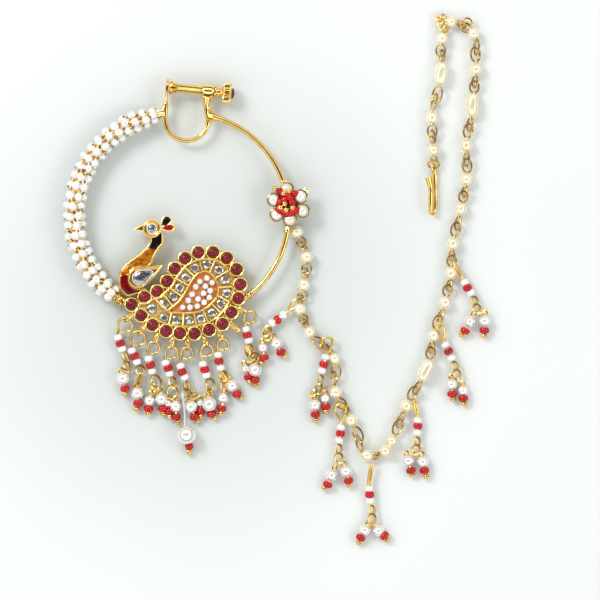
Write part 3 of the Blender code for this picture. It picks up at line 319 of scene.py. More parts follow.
# Light and dark colour, scale of the mottling, metal, roughness, bump and its depth, bounds of the mottling
looks = {
    "gold": finish("polishedGold", (1.0, 0.76, 0.30), (0.84, 0.54, 0.14), 350, 1.0, (0.07, 0.16), 0.05,
                   bounds=(0.35, 0.65)),
    "chainGold": finish("wireGold", (0.80, 0.56, 0.20), (0.40, 0.24, 0.06), 500, 1.0, (0.12, 0.24), 0.1,
                        bounds=(0.35, 0.65)),
    "loopGold": finish("loopGold", (0.92, 0.70, 0.27), (0.62, 0.42, 0.13), 500, 1.0, (0.08, 0.18), 0.1,
                       bounds=(0.35, 0.65)),
    # Gold darkened as painted shade, for hollows, gaps and parts that lie under others
    "goldPaintedShade": finish("goldWithPaintedShade", (0.72, 0.42, 0.12), (0.30, 0.14, 0.03), 700, 1.0, (0.25, 0.45), 0.5),
    "cellGold": finish("castGold", (1.0, 0.78, 0.32), (0.80, 0.46, 0.11), 1900, 0.35, (0.16, 0.34), 1.0, 0.00030,
                       bounds=(0.34, 0.58)),
    "copper": finish("copperFloor", (0.90, 0.36, 0.07), (0.52, 0.15, 0.02), 1500, 0.10, (0.22, 0.4), 1.0, 0.00016,
                     bounds=(0.35, 0.65)),
    # Orange-brown for the groove inside each cup: painted shade and painted reflection of the ruby in the gold
    "cupPaintedShadeAndReflection": finish("cupPaintedShadeAndReflection", (0.86, 0.40, 0.10), (0.50, 0.19, 0.04), 900, 0.1, (0.2, 0.35), 0.4,
                        bounds=(0.35, 0.65)),
    "seedPearl": finish("seedPearl", (0.97, 0.94, 0.95), (0.90, 0.93, 0.88), 300, 0.35, (0.14, 0.22), 0.1, coat=0.5,
                        ior=1.7, bounds=(0.35, 0.65)),
    "cream": finish("creamPearl", (1.0, 0.945, 0.76), (0.97, 0.85, 0.56), 160, 0.36, (0.08, 0.16), 0.15, coat=0.6,
                    ior=1.6),
    "petal": finish("petalPearl", (0.95, 0.92, 0.86), (0.76, 0.70, 0.60), 420, 0.2, (0.15, 0.28), 0.3, coat=0.3,
                    ior=1.6),
    "drop": finish("dropPearl", (0.97, 0.95, 0.94), (0.90, 0.88, 0.87), 220, 0.44, (0.06, 0.12), 0.10, coat=0.8,
                   ior=1.7),
    # Dark brown for painted shade in bead holes and painted reflection on the gold balls
    "hole": finish("paintedShadeAndReflection", (0.16, 0.08, 0.02), (0.05, 0.02, 0.005), 900, 0.6, (0.3, 0.5), 0.3),
    # Grey, dark and warm facets of the crystals: painted reflections
    "greyPaintedReflection": finish("crystalPaintedGreyReflection", (0.46, 0.47, 0.48), (0.24, 0.25, 0.25), 900, 0.7, (0.04, 0.1), 0.0),
    "darkPaintedReflection": finish("crystalPaintedDarkReflection", (0.16, 0.15, 0.14), (0.06, 0.05, 0.05), 900, 0.6, (0.04, 0.1), 0.0),
    "warmPaintedReflection": finish("crystalPaintedWarmReflection", (0.62, 0.52, 0.36), (0.34, 0.24, 0.12), 900, 0.7, (0.04, 0.1), 0.0),
    "ruby": finish("ruby", (0.30, 0.0015, 0.036), (0.11, 0.0004, 0.011), 500, 0.0, (0.05, 0.10), 0.1, coat=0.1, ior=1.5,
                   sheen=0.35),
    "rubyDeep": finish("rubyHeart", (0.15, 0.014, 0.012), (0.05, 0.003, 0.003), 500, 0.0, (0.06, 0.14), 0.1, coat=0.1,
                       ior=1.5, sheen=0.35),
    "redBead": finish("scarletBead", (0.66, 0.004, 0.008), (0.38, 0.001, 0.003), 300, 0.0, (0.08, 0.16), 0.1, coat=0.15,
                      sheen=0.4),
    "whiteBead": finish("whiteBead", (0.95, 0.94, 0.94), (0.86, 0.84, 0.84), 300, 0.0, (0.15, 0.25), 0.1, coat=0.5),
    "crystal": finish("foiledCrystal", (0.93, 0.95, 0.97), (0.62, 0.64, 0.66), 900, 0.9, (0.02, 0.06), 0.0),
    "polki": finish("flatCrystal", (0.46, 0.49, 0.52), (0.09, 0.095, 0.10), 620, 0.8, (0.04, 0.12), 0.6, 0.00012,
                    bounds=(0.42, 0.60)),
    "whiteRim": finish("silverRim", (0.97, 0.97, 0.96), (0.80, 0.80, 0.78), 600, 0.4, (0.15, 0.25), 0.1),
    "orange": finish("orangeEnamel", (0.62, 0.22, 0.012), (0.26, 0.07, 0.005), 1300, 0.2, (0.06, 0.15), 0.5, 0.00005,
                     coat=0.1, sheen=0.4, bounds=(0.36, 0.64)),
    "deepRed": finish("darkRedEnamel", (0.21, 0.003, 0.004), (0.07, 0.0005, 0.002), 420, 0.0, (0.05, 0.12), 0.2,
                      coat=0.1, sheen=0.4),
    "brightRed": finish("redEnamel", (0.46, 0.006, 0.010), (0.22, 0.003, 0.004), 420, 0.0, (0.05, 0.12), 0.2, coat=0.1,
                        sheen=0.4),
    "brown": finish("brownEnamel", (0.34, 0.15, 0.04), (0.14, 0.05, 0.012), 900, 0.3, (0.1, 0.2), 0.3),
    "petalRim": finish("petalRim", (0.46, 0.34, 0.12), (0.20, 0.14, 0.04), 700, 1.0, (0.18, 0.3), 0.2),
    "thread": finish("paleThread", (0.76, 0.79, 0.73), (0.62, 0.66, 0.60), 300, 0.0, (0.15, 0.25), 0.1, coat=0.3),
    "black": finish("blackEnamel", (0.008, 0.007, 0.009), (0.002, 0.002, 0.003), 420, 0.0, (0.05, 0.12), 0.1,
                    sheen=0.4),
}
print("nath: finishes made")


# Hoop, clamp and sleeve

def hoopPath(side, start, end, count):
    # Arc: centre + r (cos u, sin u, 0), its centre half the spread to one side.
    u = np.radians(np.linspace(start, end, count))[:, None]
    centre = np.array([side * hoop["spread"] / 2, 0, hoop["level"]])
    return centre + hoop["radius"] * (np.cos(u) * np.array([1.0, 0, 0]) + np.sin(u) * np.array([0, 1.0, 0]))


clamp = {"radius": 0.0054, "wire": 0.0006, "drop": 0.0015, "shift": 0.0013, "rise": 0.0080, "opening": 0.0085,
         "armWidth": 0.0038, "armLength": 0.0055, "armThick": 0.00075, "tilt": -5.6, "rod": 0.0012,
         "boss": 0.0026, "pad": 0.0019, "padThick": 0.0017, "padGap": 0.0002, "collar": 0.0016,
         "neck": 0.0019, "knob": 0.0024, "knobLong": 0.0024, "knobRidges": 24, "threads": 26, "knobStone": 0.00138}
yokeFillets = [((157.5, 111.3), (163.4, 110.6), (165.4, 103.5)), ((157.5, 112.6), (163.2, 113.8), (165.4, 121.0)),
               ((221.5, 118.4), (211.6, 114.8), (208.6, 106.5)), ((221.5, 119.8), (211.4, 119.6), (208.4, 127))]
yokeCentre = np.array([clamp["shift"], hoop["radius"] - clamp["drop"], hoop["level"]])
screwAxis = heading(clamp["tilt"])
screwUp = heading(clamp["tilt"] + 90)
armFace = yokeCentre + np.array([-clamp["radius"] + clamp["wire"] + clamp["armThick"] / 2, clamp["rise"], 0])


def alongScrew(distance):
    # Point of the screw's line: arm face + axis times distance.
    return armFace + screwAxis * distance


def yokeAndHoop():
    # Yoke: half circle P = centre + r (cos u, sin u) and two legs, as a tube; hoop: two arcs as tubes.
    piece = Piece("hoopWire")
    bossMiddle = alongScrew(clamp["opening"] + clamp["boss"] / 2)
    arc = np.array([yokeCentre + heading(angle) * clamp["radius"] for angle in np.linspace(180, 360, 37)])
    armFoot = armFace - screwAxis * clamp["armThick"] / 2 - screwUp * (clamp["armLength"] - 0.0013)
    path = np.concatenate([smoothPath([armFoot + screwUp * 0.0006, armFoot, arc[0]], 6)[:-1], arc,
                           smoothPath([arc[-1], bossMiddle - screwUp * 0.0044, bossMiddle - screwUp * 0.0016], 8)[1:]])
    size = np.full(len(path), clamp["wire"])
    size[:8] = clamp["wire"] * np.linspace(0.60, 1.0, 8)
    flare = np.linspace(0, 1, 16)
    size[-16:] = clamp["wire"] * (1 + 1.15 * flare ** 3.4)
    piece.wire(path, size, 16)
    # Flat arm: an outline of half width w(t) that narrows to its foot and has a round head
    half = clamp["armWidth"] / 2
    t = np.linspace(0, math.pi, 17)
    head = np.stack([half * np.sin(t), half * np.cos(t)], axis=1)
    outline = np.concatenate([head, [[-half, -half * 0.96], [-clamp["armLength"] + half, -half * 0.45],
                                     [-clamp["armLength"] + half, half * 0.45], [-half, half * 0.96]]])
    rows = [armFace + outline[:, :1] * shrink * screwUp + outline[:, 1:] * shrink * upward - screwAxis * depth
            for depth, shrink in ((0.0, 0.94), (0.00012, 1.0), (clamp["armThick"] - 0.00012, 1.0),
                                  (clamp["armThick"], 0.94))]
    piece.add(capped(np.stack(rows)))
    piece.add(bead(armFace + screwUp * half * 0.92 - screwAxis * clamp["armThick"] / 2, upward, 0.00042))
    # Boss: a drum with a bore, chamfered at both ends, closed through the bore
    bore, outer, long = clamp["rod"] + 0.0001, clamp["rod"] + 0.00052, clamp["boss"]
    profile = np.array([(0, bore), (0, outer * 0.92), (long * 0.08, outer), (long * 0.92, outer), (long, outer * 0.92),
                        (long, bore)])
    v = np.linspace(0, 2 * math.pi, 28, endpoint=False)[None, :, None]
    squareness = 1 + 0.05 * np.cos(4 * v)
    across = profile[:, 1][:, None, None] * np.where(profile[:, 1][:, None, None] > bore + 1e-6, squareness, 1.0)
    middles = armFace + screwAxis * (clamp["opening"] + profile[:, :1])
    grid = middles[:, None] + across * (upward * np.cos(v) + screwUp * np.sin(v))
    piece.add((grid.reshape(-1, 3), [face[::-1] for face in gridFaces(6, 28, closed=True)]))
    # Wires of the hoop, left and right, with fillets where they meet the yoke
    leftStart = math.degrees(math.acos((yokeCentre[0] - clamp["radius"] + hoop["spread"] / 2) / hoop["radius"]))
    rightStart = math.degrees(math.acos((yokeCentre[0] + clamp["radius"] - hoop["spread"] / 2) / hoop["radius"]))
    left, right = hoopPath(-1, leftStart, 239.5, 110), hoopPath(1, rightStart, -56.0, 110)
    for path, flare in ((left, (1.9, 1.5, 1.25, 1.1, 1.03)), (right, (2.3, 1.8, 1.45, 1.2, 1.08, 1.02))):
        size = np.full(110, hoop["wire"])
        size[:len(flare)] *= flare
        piece.wire(path, size, 20)
    # Binding wire: helices round both hoop ends and round the left join
    for hoopPart, sizes in ((left[2:12], 1.34), (left[-12:-3], 1.30), (right[-7:-1], 1.30)):
        middle = smoothPath(hoopPart[::2], 14)
        along, across, other = frames(middle)
        turns = len(middle) / 13.0
        u = (np.linspace(0, 1, len(middle)) * 2 * math.pi * turns)[:, None]
        helix = middle + (across * np.cos(u) + other * np.sin(u)) * hoop["wire"] * sizes
        piece.wire(helix, hoop["binding"], 8)
    # Fillets from the hoop wires up and down the legs of the yoke
    for places in yokeFillets:
        fillet = smoothPath([spot(*place, hoop["level"]) for place in places], 8)
        piece.wire(fillet, 0.00036 + 0.00026 * np.sin(np.linspace(0, math.pi, len(fillet))), 12)
    piece.finish("nath", "gold", "hoop_frame")


def clampScrew():
    # Profiles turned about the screw's line; the knob's radius has a ripple of 7 percent.
    pad = Piece("padCap")
    start, thick, wide = clamp["padGap"], clamp["padThick"], clamp["pad"]
    pad.add(turnedSolid([(start, wide * 0.78), (start + 0.00012, wide * 0.93), (start + 0.0004, wide),
                         (start + 0.0007, wide * 0.97), (start + 0.0009, wide * 0.72), (start + 0.0011, wide * 0.62),
                         (start + thick - 0.0004, wide * 0.70), (start + thick - 0.00015, wide * 0.78),
                         (start + thick, wide * 0.66)], armFace, screwAxis, 32))
    pad.finish("pad_body", "gold", "clamp_pad")
    screw = Piece("threadedScrew")
    rodStart = start + thick + 0.0001
    collarStart = clamp["opening"] + clamp["boss"] + 0.0003
    # Thread: radius falls and rises as a saw along the rod
    x = np.linspace(rodStart, collarStart, clamp["threads"] * 4 + 1)
    saw = np.abs(((x - rodStart) / (collarStart - rodStart) * clamp["threads"]) % 1.0 - 0.5) * 2
    rod = np.stack([x, clamp["rod"] * (0.90 + 0.09 * saw)], axis=1)
    rod[0, 1] *= 0.7
    screw.add(turnedSolid(rod, armFace, screwAxis, 24))
    neckEnd = collarStart + clamp["neck"]
    c, k = clamp["collar"], clamp["knob"]
    screw.add(turnedSolid([(collarStart, c * 0.7), (collarStart + 0.0001, c), (collarStart + 0.00045, c),
                           (collarStart + 0.0006, c * 0.62), (collarStart + 0.0009, c * 0.58),
                           (collarStart + 0.0010, c * 0.86), (collarStart + 0.00125, c * 0.86),
                           (collarStart + 0.0014, c * 0.6), (neckEnd, c * 0.75)], armFace, screwAxis, 28))
    end = neckEnd + clamp["knobLong"]
    screw.add(turnedSolid([(neckEnd, k * 0.62), (neckEnd + 0.0002, k * 0.86), (neckEnd + 0.0005, k * 0.96),
                           (neckEnd + 0.0012, k * 0.97), (end - 0.0006, k * 0.95), (end - 0.0002, k * 0.90),
                           (end, k * 0.74)], armFace, screwAxis, clamp["knobRidges"] * 6, 0.07, clamp["knobRidges"]))
    # Dark ring between collar and knob: painted shade
    screw.add(turnedSolid([(neckEnd - 0.0002, c * 0.5), (neckEnd + 0.0001, c * 0.95), (neckEnd + 0.0003, c * 0.6)],
                          armFace, screwAxis, 20), "goldPaintedShade")
    screw.finish("screw_body", "gold", "clamp_screw")
    stone = Piece("knobRuby")
    u = np.linspace(0, 1.45, 8)
    profile = np.stack([end + 0.0001 + 0.0007 * np.sin(u), clamp["knobStone"] * np.cos(u)], axis=1)
    stone.add(turnedSolid(profile, armFace, screwAxis, 28), "rubyDeep")
    stone.finish("screw_body", "red_enamel", "knob_stone")


sleeve = {"start": 102.6, "end": 236.2, "rows": 25, "around": 5, "bead": 0.00119, "radius": 0.0030, "strand": 0.00020,
          "core": 0.0016, "holeRim": (0.00042, 0.00012), "hole": (0.00024, 0.00010), "knot": 0.00125,
          "knotWire": 0.00034}


def pearlSleeve():
    # Beads on a tube: bead k of a row stands at roll (k + half the row's parity) / around, rows along the hoop.
    piece = Piece("sleevePearls")
    middles = hoopPath(-1, sleeve["start"], sleeve["end"], sleeve["rows"])
    centre = np.array([-hoop["spread"] / 2, 0, hoop["level"]])
    taper = np.ones(sleeve["rows"])
    taper[:2] = (0.55, 0.86)
    taper[-3:] = (0.94, 0.80, 0.50)
    seats = []
    for row, middle in enumerate(middles[:-1]):
        out = unit(middle - centre)
        along = np.cross(upward, out)
        rowSeats = []
        around = sleeve["around"] if taper[row] > 0.6 else 4
        for k in range(around):
            roll = 2 * math.pi * (k + 0.5 * (row % 2) + 0.13 * row) / around + 0.10 * rng.normal()
            radial = out * math.cos(roll) + upward * math.sin(roll)
            tangent = upward * math.cos(roll) - out * math.sin(roll)
            reach = (sleeve["radius"] - sleeve["bead"]) * taper[row]
            seat = middle + radial * reach + along * rng.normal() * 0.00012
            turned = (1 if k % 2 else -1) * (0.9 if row % 2 else 0.35)
            lean = rng.uniform(0.15, 0.8) * (1 if rng.random() > 0.4 else -1)
            axis = unit(along * 0.8 + tangent * turned + radial * lean)
            size = sleeve["bead"] * (0.96 + 0.05 * rng.random())
            piece.add(bead(seat, axis, size, size * 0.96, 2.0, 0.2, 9, 14), "seedPearl")
            for side in (-1, 1):
                end = seat + axis * side * size * 0.955
                piece.add(bead(end, axis, *sleeve["holeRim"], 2, 0.3, 4, 8))
                # Dark disc in each bead's hole: painted shade
                piece.add(bead(end + axis * side * 0.00008, axis, *sleeve["hole"], 2, 0.3, 4, 8), "hole")
            rowSeats.append(seat)
        seats.append(rowSeats)
    # Stringing wire: from each bead to the nearest two of the next row
    for here, after in zip(seats, seats[1:]):
        for seat in here:
            distances = np.linalg.norm(np.array(after) - seat, axis=1)
            for k in np.argsort(distances)[:2]:
                piece.wire(np.linspace(seat, after[k], 4), sleeve["strand"], 6)
    # Knot of wire at the lower end
    step = middles[-2] - middles[-1]
    knot = coilPath(middles[-1] + step * 0.4, middles[-1] * 1.5 - middles[-2] * 0.5, sleeve["knot"], 3.4)
    piece.wire(knot, sleeve["knotWire"], 8, look="loopGold")
    # Core between the beads in dark gold: painted shade
    core = hoopPath(-1, sleeve["start"] - 0.6, sleeve["end"] + 0.6, 60)
    reach = np.interp(np.linspace(0, 1, 60), np.linspace(0, 1, sleeve["rows"]), taper) * sleeve["core"]
    piece.wire(core, reach, 12, look="goldPaintedShade")
    piece.finish("nath", "pearl", "pearl_sleeve")


# Plate

plate = {"back": 0.0023, "thick": 0.0014, "cup": 0.0017, "stone": 0.00127, "cupRise": 0.0021, "ridge": 0.0021,
         "trayDepth": 0.0009, "crystal": 0.00132, "ridgeWire": 0.00030, "innerWire": 0.00026, "cellWire": 0.00019,
         "grain": (0.00018, 0.00027), "prong": (0.00021, 0.0003), "trayPearl": 0.00080}
rimCurve = [(132, 304.6), (144.8, 297.2), (157.5, 291.5), (167.4, 281.4), (175, 268.8), (185.3, 258.5), (198.5, 252.5),
            (213.2, 252.5), (226.8, 258.3), (236.7, 269.4), (240.4, 284.6), (238.5, 298.3), (231.5, 312.4),
            (222.6, 323.9), (209.3, 329.8), (194.7, 333.5), (180.1, 333.2), (166.4, 331), (152.8, 325), (141.6, 315.2)]
ridgeCurve = [(139.3, 305), (150, 300.6), (161.5, 295.5), (171.5, 286.5), (178.5, 275), (188, 264.5), (199.5, 259.6),
              (212, 259.4), (223, 264.4), (230.8, 273.5), (233.6, 285), (231.5, 296.5), (225.5, 308), (217, 317.5),
              (206.5, 323), (193.5, 326.4), (180, 326.2), (167.5, 324), (155.5, 318.8), (146.5, 311.8)]
innerCurve = [(168.4, 311.2), (178.5, 302), (185.5, 292), (192, 280.5), (198.5, 273.2), (206.5, 271.2), (214, 276.4),
              (218.2, 286), (216.5, 297), (209.5, 305.4), (199.5, 311.2), (189, 312.8), (178, 312.6)]
crystalPlaces = [(152, 308.7), (164.1, 304.2), (173.6, 297), (179.7, 287.8), (186.3, 278.1), (194.7, 268.1),
                 (207.4, 264), (219, 269.9), (225.1, 279.9), (227, 293.4), (221, 304), (212.4, 313.2), (201, 318.9),
                 (189.3, 320.4), (176.8, 320.4), (164.3, 317.9)]
trayPearls = [(207.1, 278), (200, 281.5), (212.4, 282.7), (196, 286.8), (205.6, 286.1), (192.2, 294.4), (210.4, 290.7),
              (203.8, 293.3), (188.5, 300.4), (198.3, 299), (209.7, 297.5), (204.4, 302.4), (182.8, 307.4),
              (190.2, 307.3), (197.5, 306.2)]


def closedCurve(rows, z, count=160):
    # Smooth loop through the rows, cut into equal lengths, anticlockwise.
    dense = smoothPath(spots(rows, z), 12, closed=True)
    steps = np.linalg.norm(np.diff(np.concatenate([dense, dense[:1]]), axis=0), axis=1)
    lengths = np.concatenate([[0], np.cumsum(steps)])
    wanted = np.linspace(0, lengths[-1], count, endpoint=False)
    ring = np.concatenate([dense, dense[:1]])
    return np.stack([np.interp(wanted, lengths, ring[:, axis]) for axis in range(3)], axis=1)[::-1]


def offsetCurve(curve, distance):
    # Closed curve moved outward by a distance; the curves here run anticlockwise.
    along = unit(np.roll(curve, -1, axis=0) - np.roll(curve, 1, axis=0))
    return curve + np.cross(along, upward) * distance


def nearestOn(curve, point):
    # Point of a curve at the least distance.
    return curve[np.argmin(np.linalg.norm(curve - point, axis=1))]


def paisleyPlate():
    # Cups: turned profiles on the rim; walls: tubes along closed curves; beds: filleted outlines.
    back, top, crest = plate["back"], plate["back"] + plate["thick"], plate["back"] + plate["ridge"]
    floor = crest - plate["trayDepth"]
    casting, stones = Piece("plateCasting"), Piece("rubyStones")
    rim = closedCurve(rimCurve, 0.0)
    # Back plate under the cups in dark gold: painted shade
    casting.add(filletedPlate(offsetCurve(rim, -0.0002), back, floor - 0.0004, 0.0003), "goldPaintedShade")
    places = spots(rimCurve)
    for place in places:
        r = plate["cup"]
        foot, lip, inside = place + upward * back, plate["cupRise"], plate["cupRise"] - 0.00075
        casting.add(turnedSolid([(0, r * 0.90), (0.0004, r * 1.0), (lip - 0.0004, r * 1.03), (lip - 0.00010, r * 1.02),
                                 (lip, r * 0.985), (lip - 0.00006, r * 0.95)], foot, upward, 28))
        # Lining of the cup in orange-brown: painted shade in the groove and painted reflection of the ruby
        casting.add(turnedSolid([(0.0003, r * 0.70), (lip - 0.00004, r * 0.955), (inside + 0.0002, r * 0.84),
                                 (inside, r * 0.3)], foot, upward, 24), "cupPaintedShadeAndReflection")
        casting.ring(0.00010, 8, place + upward * (back + lip - 0.00006), heading(0), r * 0.99, r * 0.99)
        u = np.linspace(0, math.pi / 2 - 0.12, 9)
        s = plate["stone"]
        base = place + upward * (back + inside)
        # Dark ring round the stone's foot: painted shade
        casting.ring(0.00012, 6, base + upward * 0.0001, heading(0), s * 1.07, s * 1.07, steps=24, look="goldPaintedShade")
        dome = np.stack([0.00025 + 0.00125 * np.sin(u), s * np.cos(u)], axis=1)
        stones.add(turnedSolid(np.concatenate([[(0.0, s)], dome]), base, upward, 24), "ruby")
    # Grains of gold between neighbouring cups, outside and inside
    for a, b in zip(places, np.roll(places, -1, axis=0)):
        between = (a + b) / 2
        inward = unit(spot(195, 295) - between)
        for step, size in ((0.00115, 0.00030), (-0.00125, 0.00034)):
            casting.add(bead(between + inward * step + upward * (top + 0.0001), upward, size, size, 2, 0.2, 5, 8))
    # Ridge, cell walls, inner wall
    ridge, inner = closedCurve(ridgeCurve, crest - 0.0003), closedCurve(innerCurve, crest - 0.0003, 120)
    for curve, size in ((ridge, plate["ridgeWire"]), (inner, plate["innerWire"])):
        for step, sides in ((0.0, 10), (0.0004, 8), (0.0008, 8)):
            casting.wire(curve - upward * step, size, sides, closed=True)
    cells = spots(crystalPlaces, floor)
    for here, after in zip(cells, cells[1:]):
        middle = (here + after) / 2 + upward * (ridge[0, 2] - floor)
        wall = np.linspace(nearestOn(ridge, middle), nearestOn(inner, middle), 3)
        for step in (0.0, 0.0003):
            casting.wire(wall - upward * step, plate["cellWire"], 8)
    # Cell floor with its stones: a bright cast bed, three prongs and a cut crystal in each cell
    bed = Piece("cellBed")
    bed.add(filletedPlate(offsetCurve(closedCurve(ridgeCurve, 0.0), -0.0001), floor - 0.0007, floor - 0.0002, 0.0001),
            "cellGold")
    # Grains in rows along both walls and in a ring round each crystal
    beads = [*offsetCurve(ridge, -0.00042)[::2], *offsetCurve(inner, 0.00040)[::2]]
    for number, cell in enumerate(cells):
        beads += [cell + heading(30 * step + 11 * number) * plate["crystal"] * 1.22 for step in range(12)]
    for place in beads:
        grain = rng.uniform(*plate["grain"])
        place = np.array([place[0], place[1], floor - 0.00012]) + np.array([*rng.normal(size=2) * 0.00006, 0])
        bed.add(bead(place, upward, grain, grain, 2, 0.2, 5, 8), "cellGold")
    bed.finish("nath", "gold")
    crystals = Piece("cutCrystals")
    for number, cell in enumerate(cells):
        addFacets(crystals, brilliant(cell - upward * 0.0001, plate["crystal"], 0.00050, number * 17.0, 9), number)
        for prong in range(4):
            away = heading(45 + 90 * prong + number * 23) * plate["crystal"] * 1.02
            crystals.add(bead(cell + away + upward * 0.00022, upward, *plate["prong"], 2, 0.2, 4, 8))
    crystals.finish("nath", "crystal", "crystal_ring")
    tray = Piece("trayPearls")
    tray.add(filletedPlate(offsetCurve(closedCurve(innerCurve, 0.0, 120), 0.0001), floor - 0.0006, floor - 0.0001,
                           0.0001), "copper")
    for place in spots(trayPearls, floor + 0.00045):
        size = plate["trayPearl"] * (0.96 + 0.08 * rng.random())
        tray.add(bead(place, unit(heading(rng.uniform(0, 360)) + upward * 0.2), size, size, 2, 0.15, 9, 14), "drop")
    tray.finish("nath", "copper", "tray_floor")
    for row in loopRows:
        solderedLoop(casting, row["loop"], row["loopEnd"])
    solderedLoop(casting, (228.5, 321.5), (240.5, 332.5))
    peacock(casting)
    casting.finish("nath", "gold", "pendant_plate")
    stones.finish("nath", "ruby", *[f"ruby_{k:02d}" for k in range(1, 21)])


def brilliant(seat, radius, rise, turn, facets=8):
    # Cut stone: girdle, crown facets turned half a step against the table, and a flat table.
    v = np.radians(np.arange(facets) * 360 / facets + turn)
    half = math.pi / facets
    rows = []
    for z, share, phase in ((0.0, 0.92, half), (rise * 0.30, 1.0, 0.0), (rise * 0.72, 0.80, half), (rise, 0.52, 0.0)):
        rows.append(seat + np.stack([radius * share * np.cos(v + phase), radius * share * np.sin(v + phase),
                                     np.full(facets, z)], axis=1))
    points = np.concatenate(rows)
    faces = [list(range(facets))[::-1], list(range(3 * facets, 4 * facets))]
    for row in range(3):
        low, high = row * facets, (row + 1) * facets
        shift = 1 if row in (0, 2) else 0
        for k in range(facets):
            after = (k + 1) % facets
            if shift:
                faces += [[low + k, high + after, high + k], [low + k, low + after, high + after]]
            else:
                faces += [[low + k, low + after, high + k], [low + after, high + after, high + k]]
    return points, faces


# Share of each tone among the facets; the grey, dark and warm ones are painted reflections
facetLooks = [("crystal", 0.40), ("greyPaintedReflection", 0.27), ("darkPaintedReflection", 0.17), ("warmPaintedReflection", 0.16)]


def addFacets(piece, shape, seed):
    # Facets of a foiled stone, each painted in one of four tones: the white foil, and grey, dark and warm painted
    # reflections.
    points, faces = shape
    names, shares = zip(*facetLooks)
    picks = np.random.default_rng(seed + 31).choice(len(names), size=len(faces), p=shares)
    picks[1] = 0 if seed % 3 else 1
    for k, name in enumerate(names):
        chosen = [face for face, pick in zip(faces, picks) if pick == k]
        if chosen:
            piece.add((points, chosen), name, smooth=False)


def solderedLoop(piece, start, end):
    # Upright oval loop soldered under the plate, a double wire as a jump ring is.
    a, b = spot(*start, hoop["level"] + 0.0001), spot(*end, hoop["level"] - 0.0003)
    along = b - a
    half = np.linalg.norm(along) / 2
    piece.ring(0.00040, 10, (a + b) / 2, along, half, 0.00086, tilt=68)
    piece.add(bead(a, along, 0.00058, 0.0008, 2, 0.2, 6, 10))


# Peacock

neckOuter = [(151.6, 236.4), (151, 242), (147.5, 247.5), (140, 255.2), (130.5, 262), (122.8, 269), (120.0, 276),
             (120.4, 285.5), (123.6, 291.6), (129.2, 295.2), (138, 292.3)]
neckInner = [(162.2, 233.4), (162.0, 243.0), (157.2, 250), (152.4, 258.6), (148.4, 265.8), (134.5, 267.6),
             (128.9, 274.4), (129.3, 282.5), (133.5, 287.5), (139, 289.3), (145.8, 289)]
bird = {"head": (152.2, 228.8), "headRadius": 0.0023, "eye": 0.00130, "wing": (138.5, 278), "wingTip": (165.2, 268.0),
        "wingRadius": 0.00245, "innerRim": (141.5, 278.0), "stone": (143.3, 276.4), "stoneHalf": (0.00272, 0.00158),
        "beak": (134.4, 228.8), "crestBlack": (166.1, 221.6), "crestRed": (168.2, 227.8)}


def dropOutline(centre, radius, tip, z, count=40, sway=0.0):
    # Teardrop: a circle's far side, then two straight flanks to the tip, bent sideways by the sway.
    centre, tip = spot(*centre, z), spot(*tip, z)
    reach = tip - centre
    length = np.linalg.norm(reach)
    facing = math.atan2(reach[1], reach[0])
    half = math.acos(min(1.0, radius / length))
    arc = np.linspace(facing + half, facing + 2 * math.pi - half, count - 16)
    round_ = centre + radius * np.stack([np.cos(arc), np.sin(arc), np.zeros_like(arc)], axis=1)
    share = np.linspace(0, 1, 9)[1:, None]
    back = round_[-1] + (tip - round_[-1]) * share
    forth = tip + (round_[0] - tip) * share[:-1]
    outline = np.concatenate([round_, back, forth])
    t = ((outline - centre) @ (reach / length) / length).clip(0, 1)[:, None]
    return outline + np.cross(upward, reach / length) * sway * t ** 2


def crowned(outline, bottom, top, swell, rows=5):
    # Outline drawn in towards its middle while it rises: a low cushion of enamel or stone.
    middle = outline.mean(axis=0)
    levels = []
    for share in np.linspace(0, 1, rows):
        shrink = 1 - 0.55 * share ** 1.6
        ring = middle + (outline - middle) * shrink
        ring[:, 2] = top + swell * math.sin(share * math.pi / 2)
        levels.append(ring)
    low = outline.copy()
    low[:, 2] = bottom
    return capped(np.stack([low] + levels))


def strip(outer, inner, first, last, bottom, top, swell, inset=0.06):
    # Strip between two edges: P(u, v) = outer + (inner - outer) v, raised by swell sin(pi v).
    a = smoothPath(spots(outer), 6)[first * 6:last * 6 + 1]
    b = smoothPath(spots(inner), 6)[first * 6:last * 6 + 1]
    v = np.linspace(inset, 1 - inset, 7)[:, None, None]
    grid = a[None] + (b - a)[None] * v
    grid[:, :, 2] = top + swell * np.sin(np.pi * (v[:, :, 0] - inset) / (1 - 2 * inset))
    low = grid[[0, -1]].copy()
    low[:, :, 2] = bottom
    grid = np.concatenate([low[:1], grid, low[1:]]).transpose(1, 0, 2)
    return capped(grid)


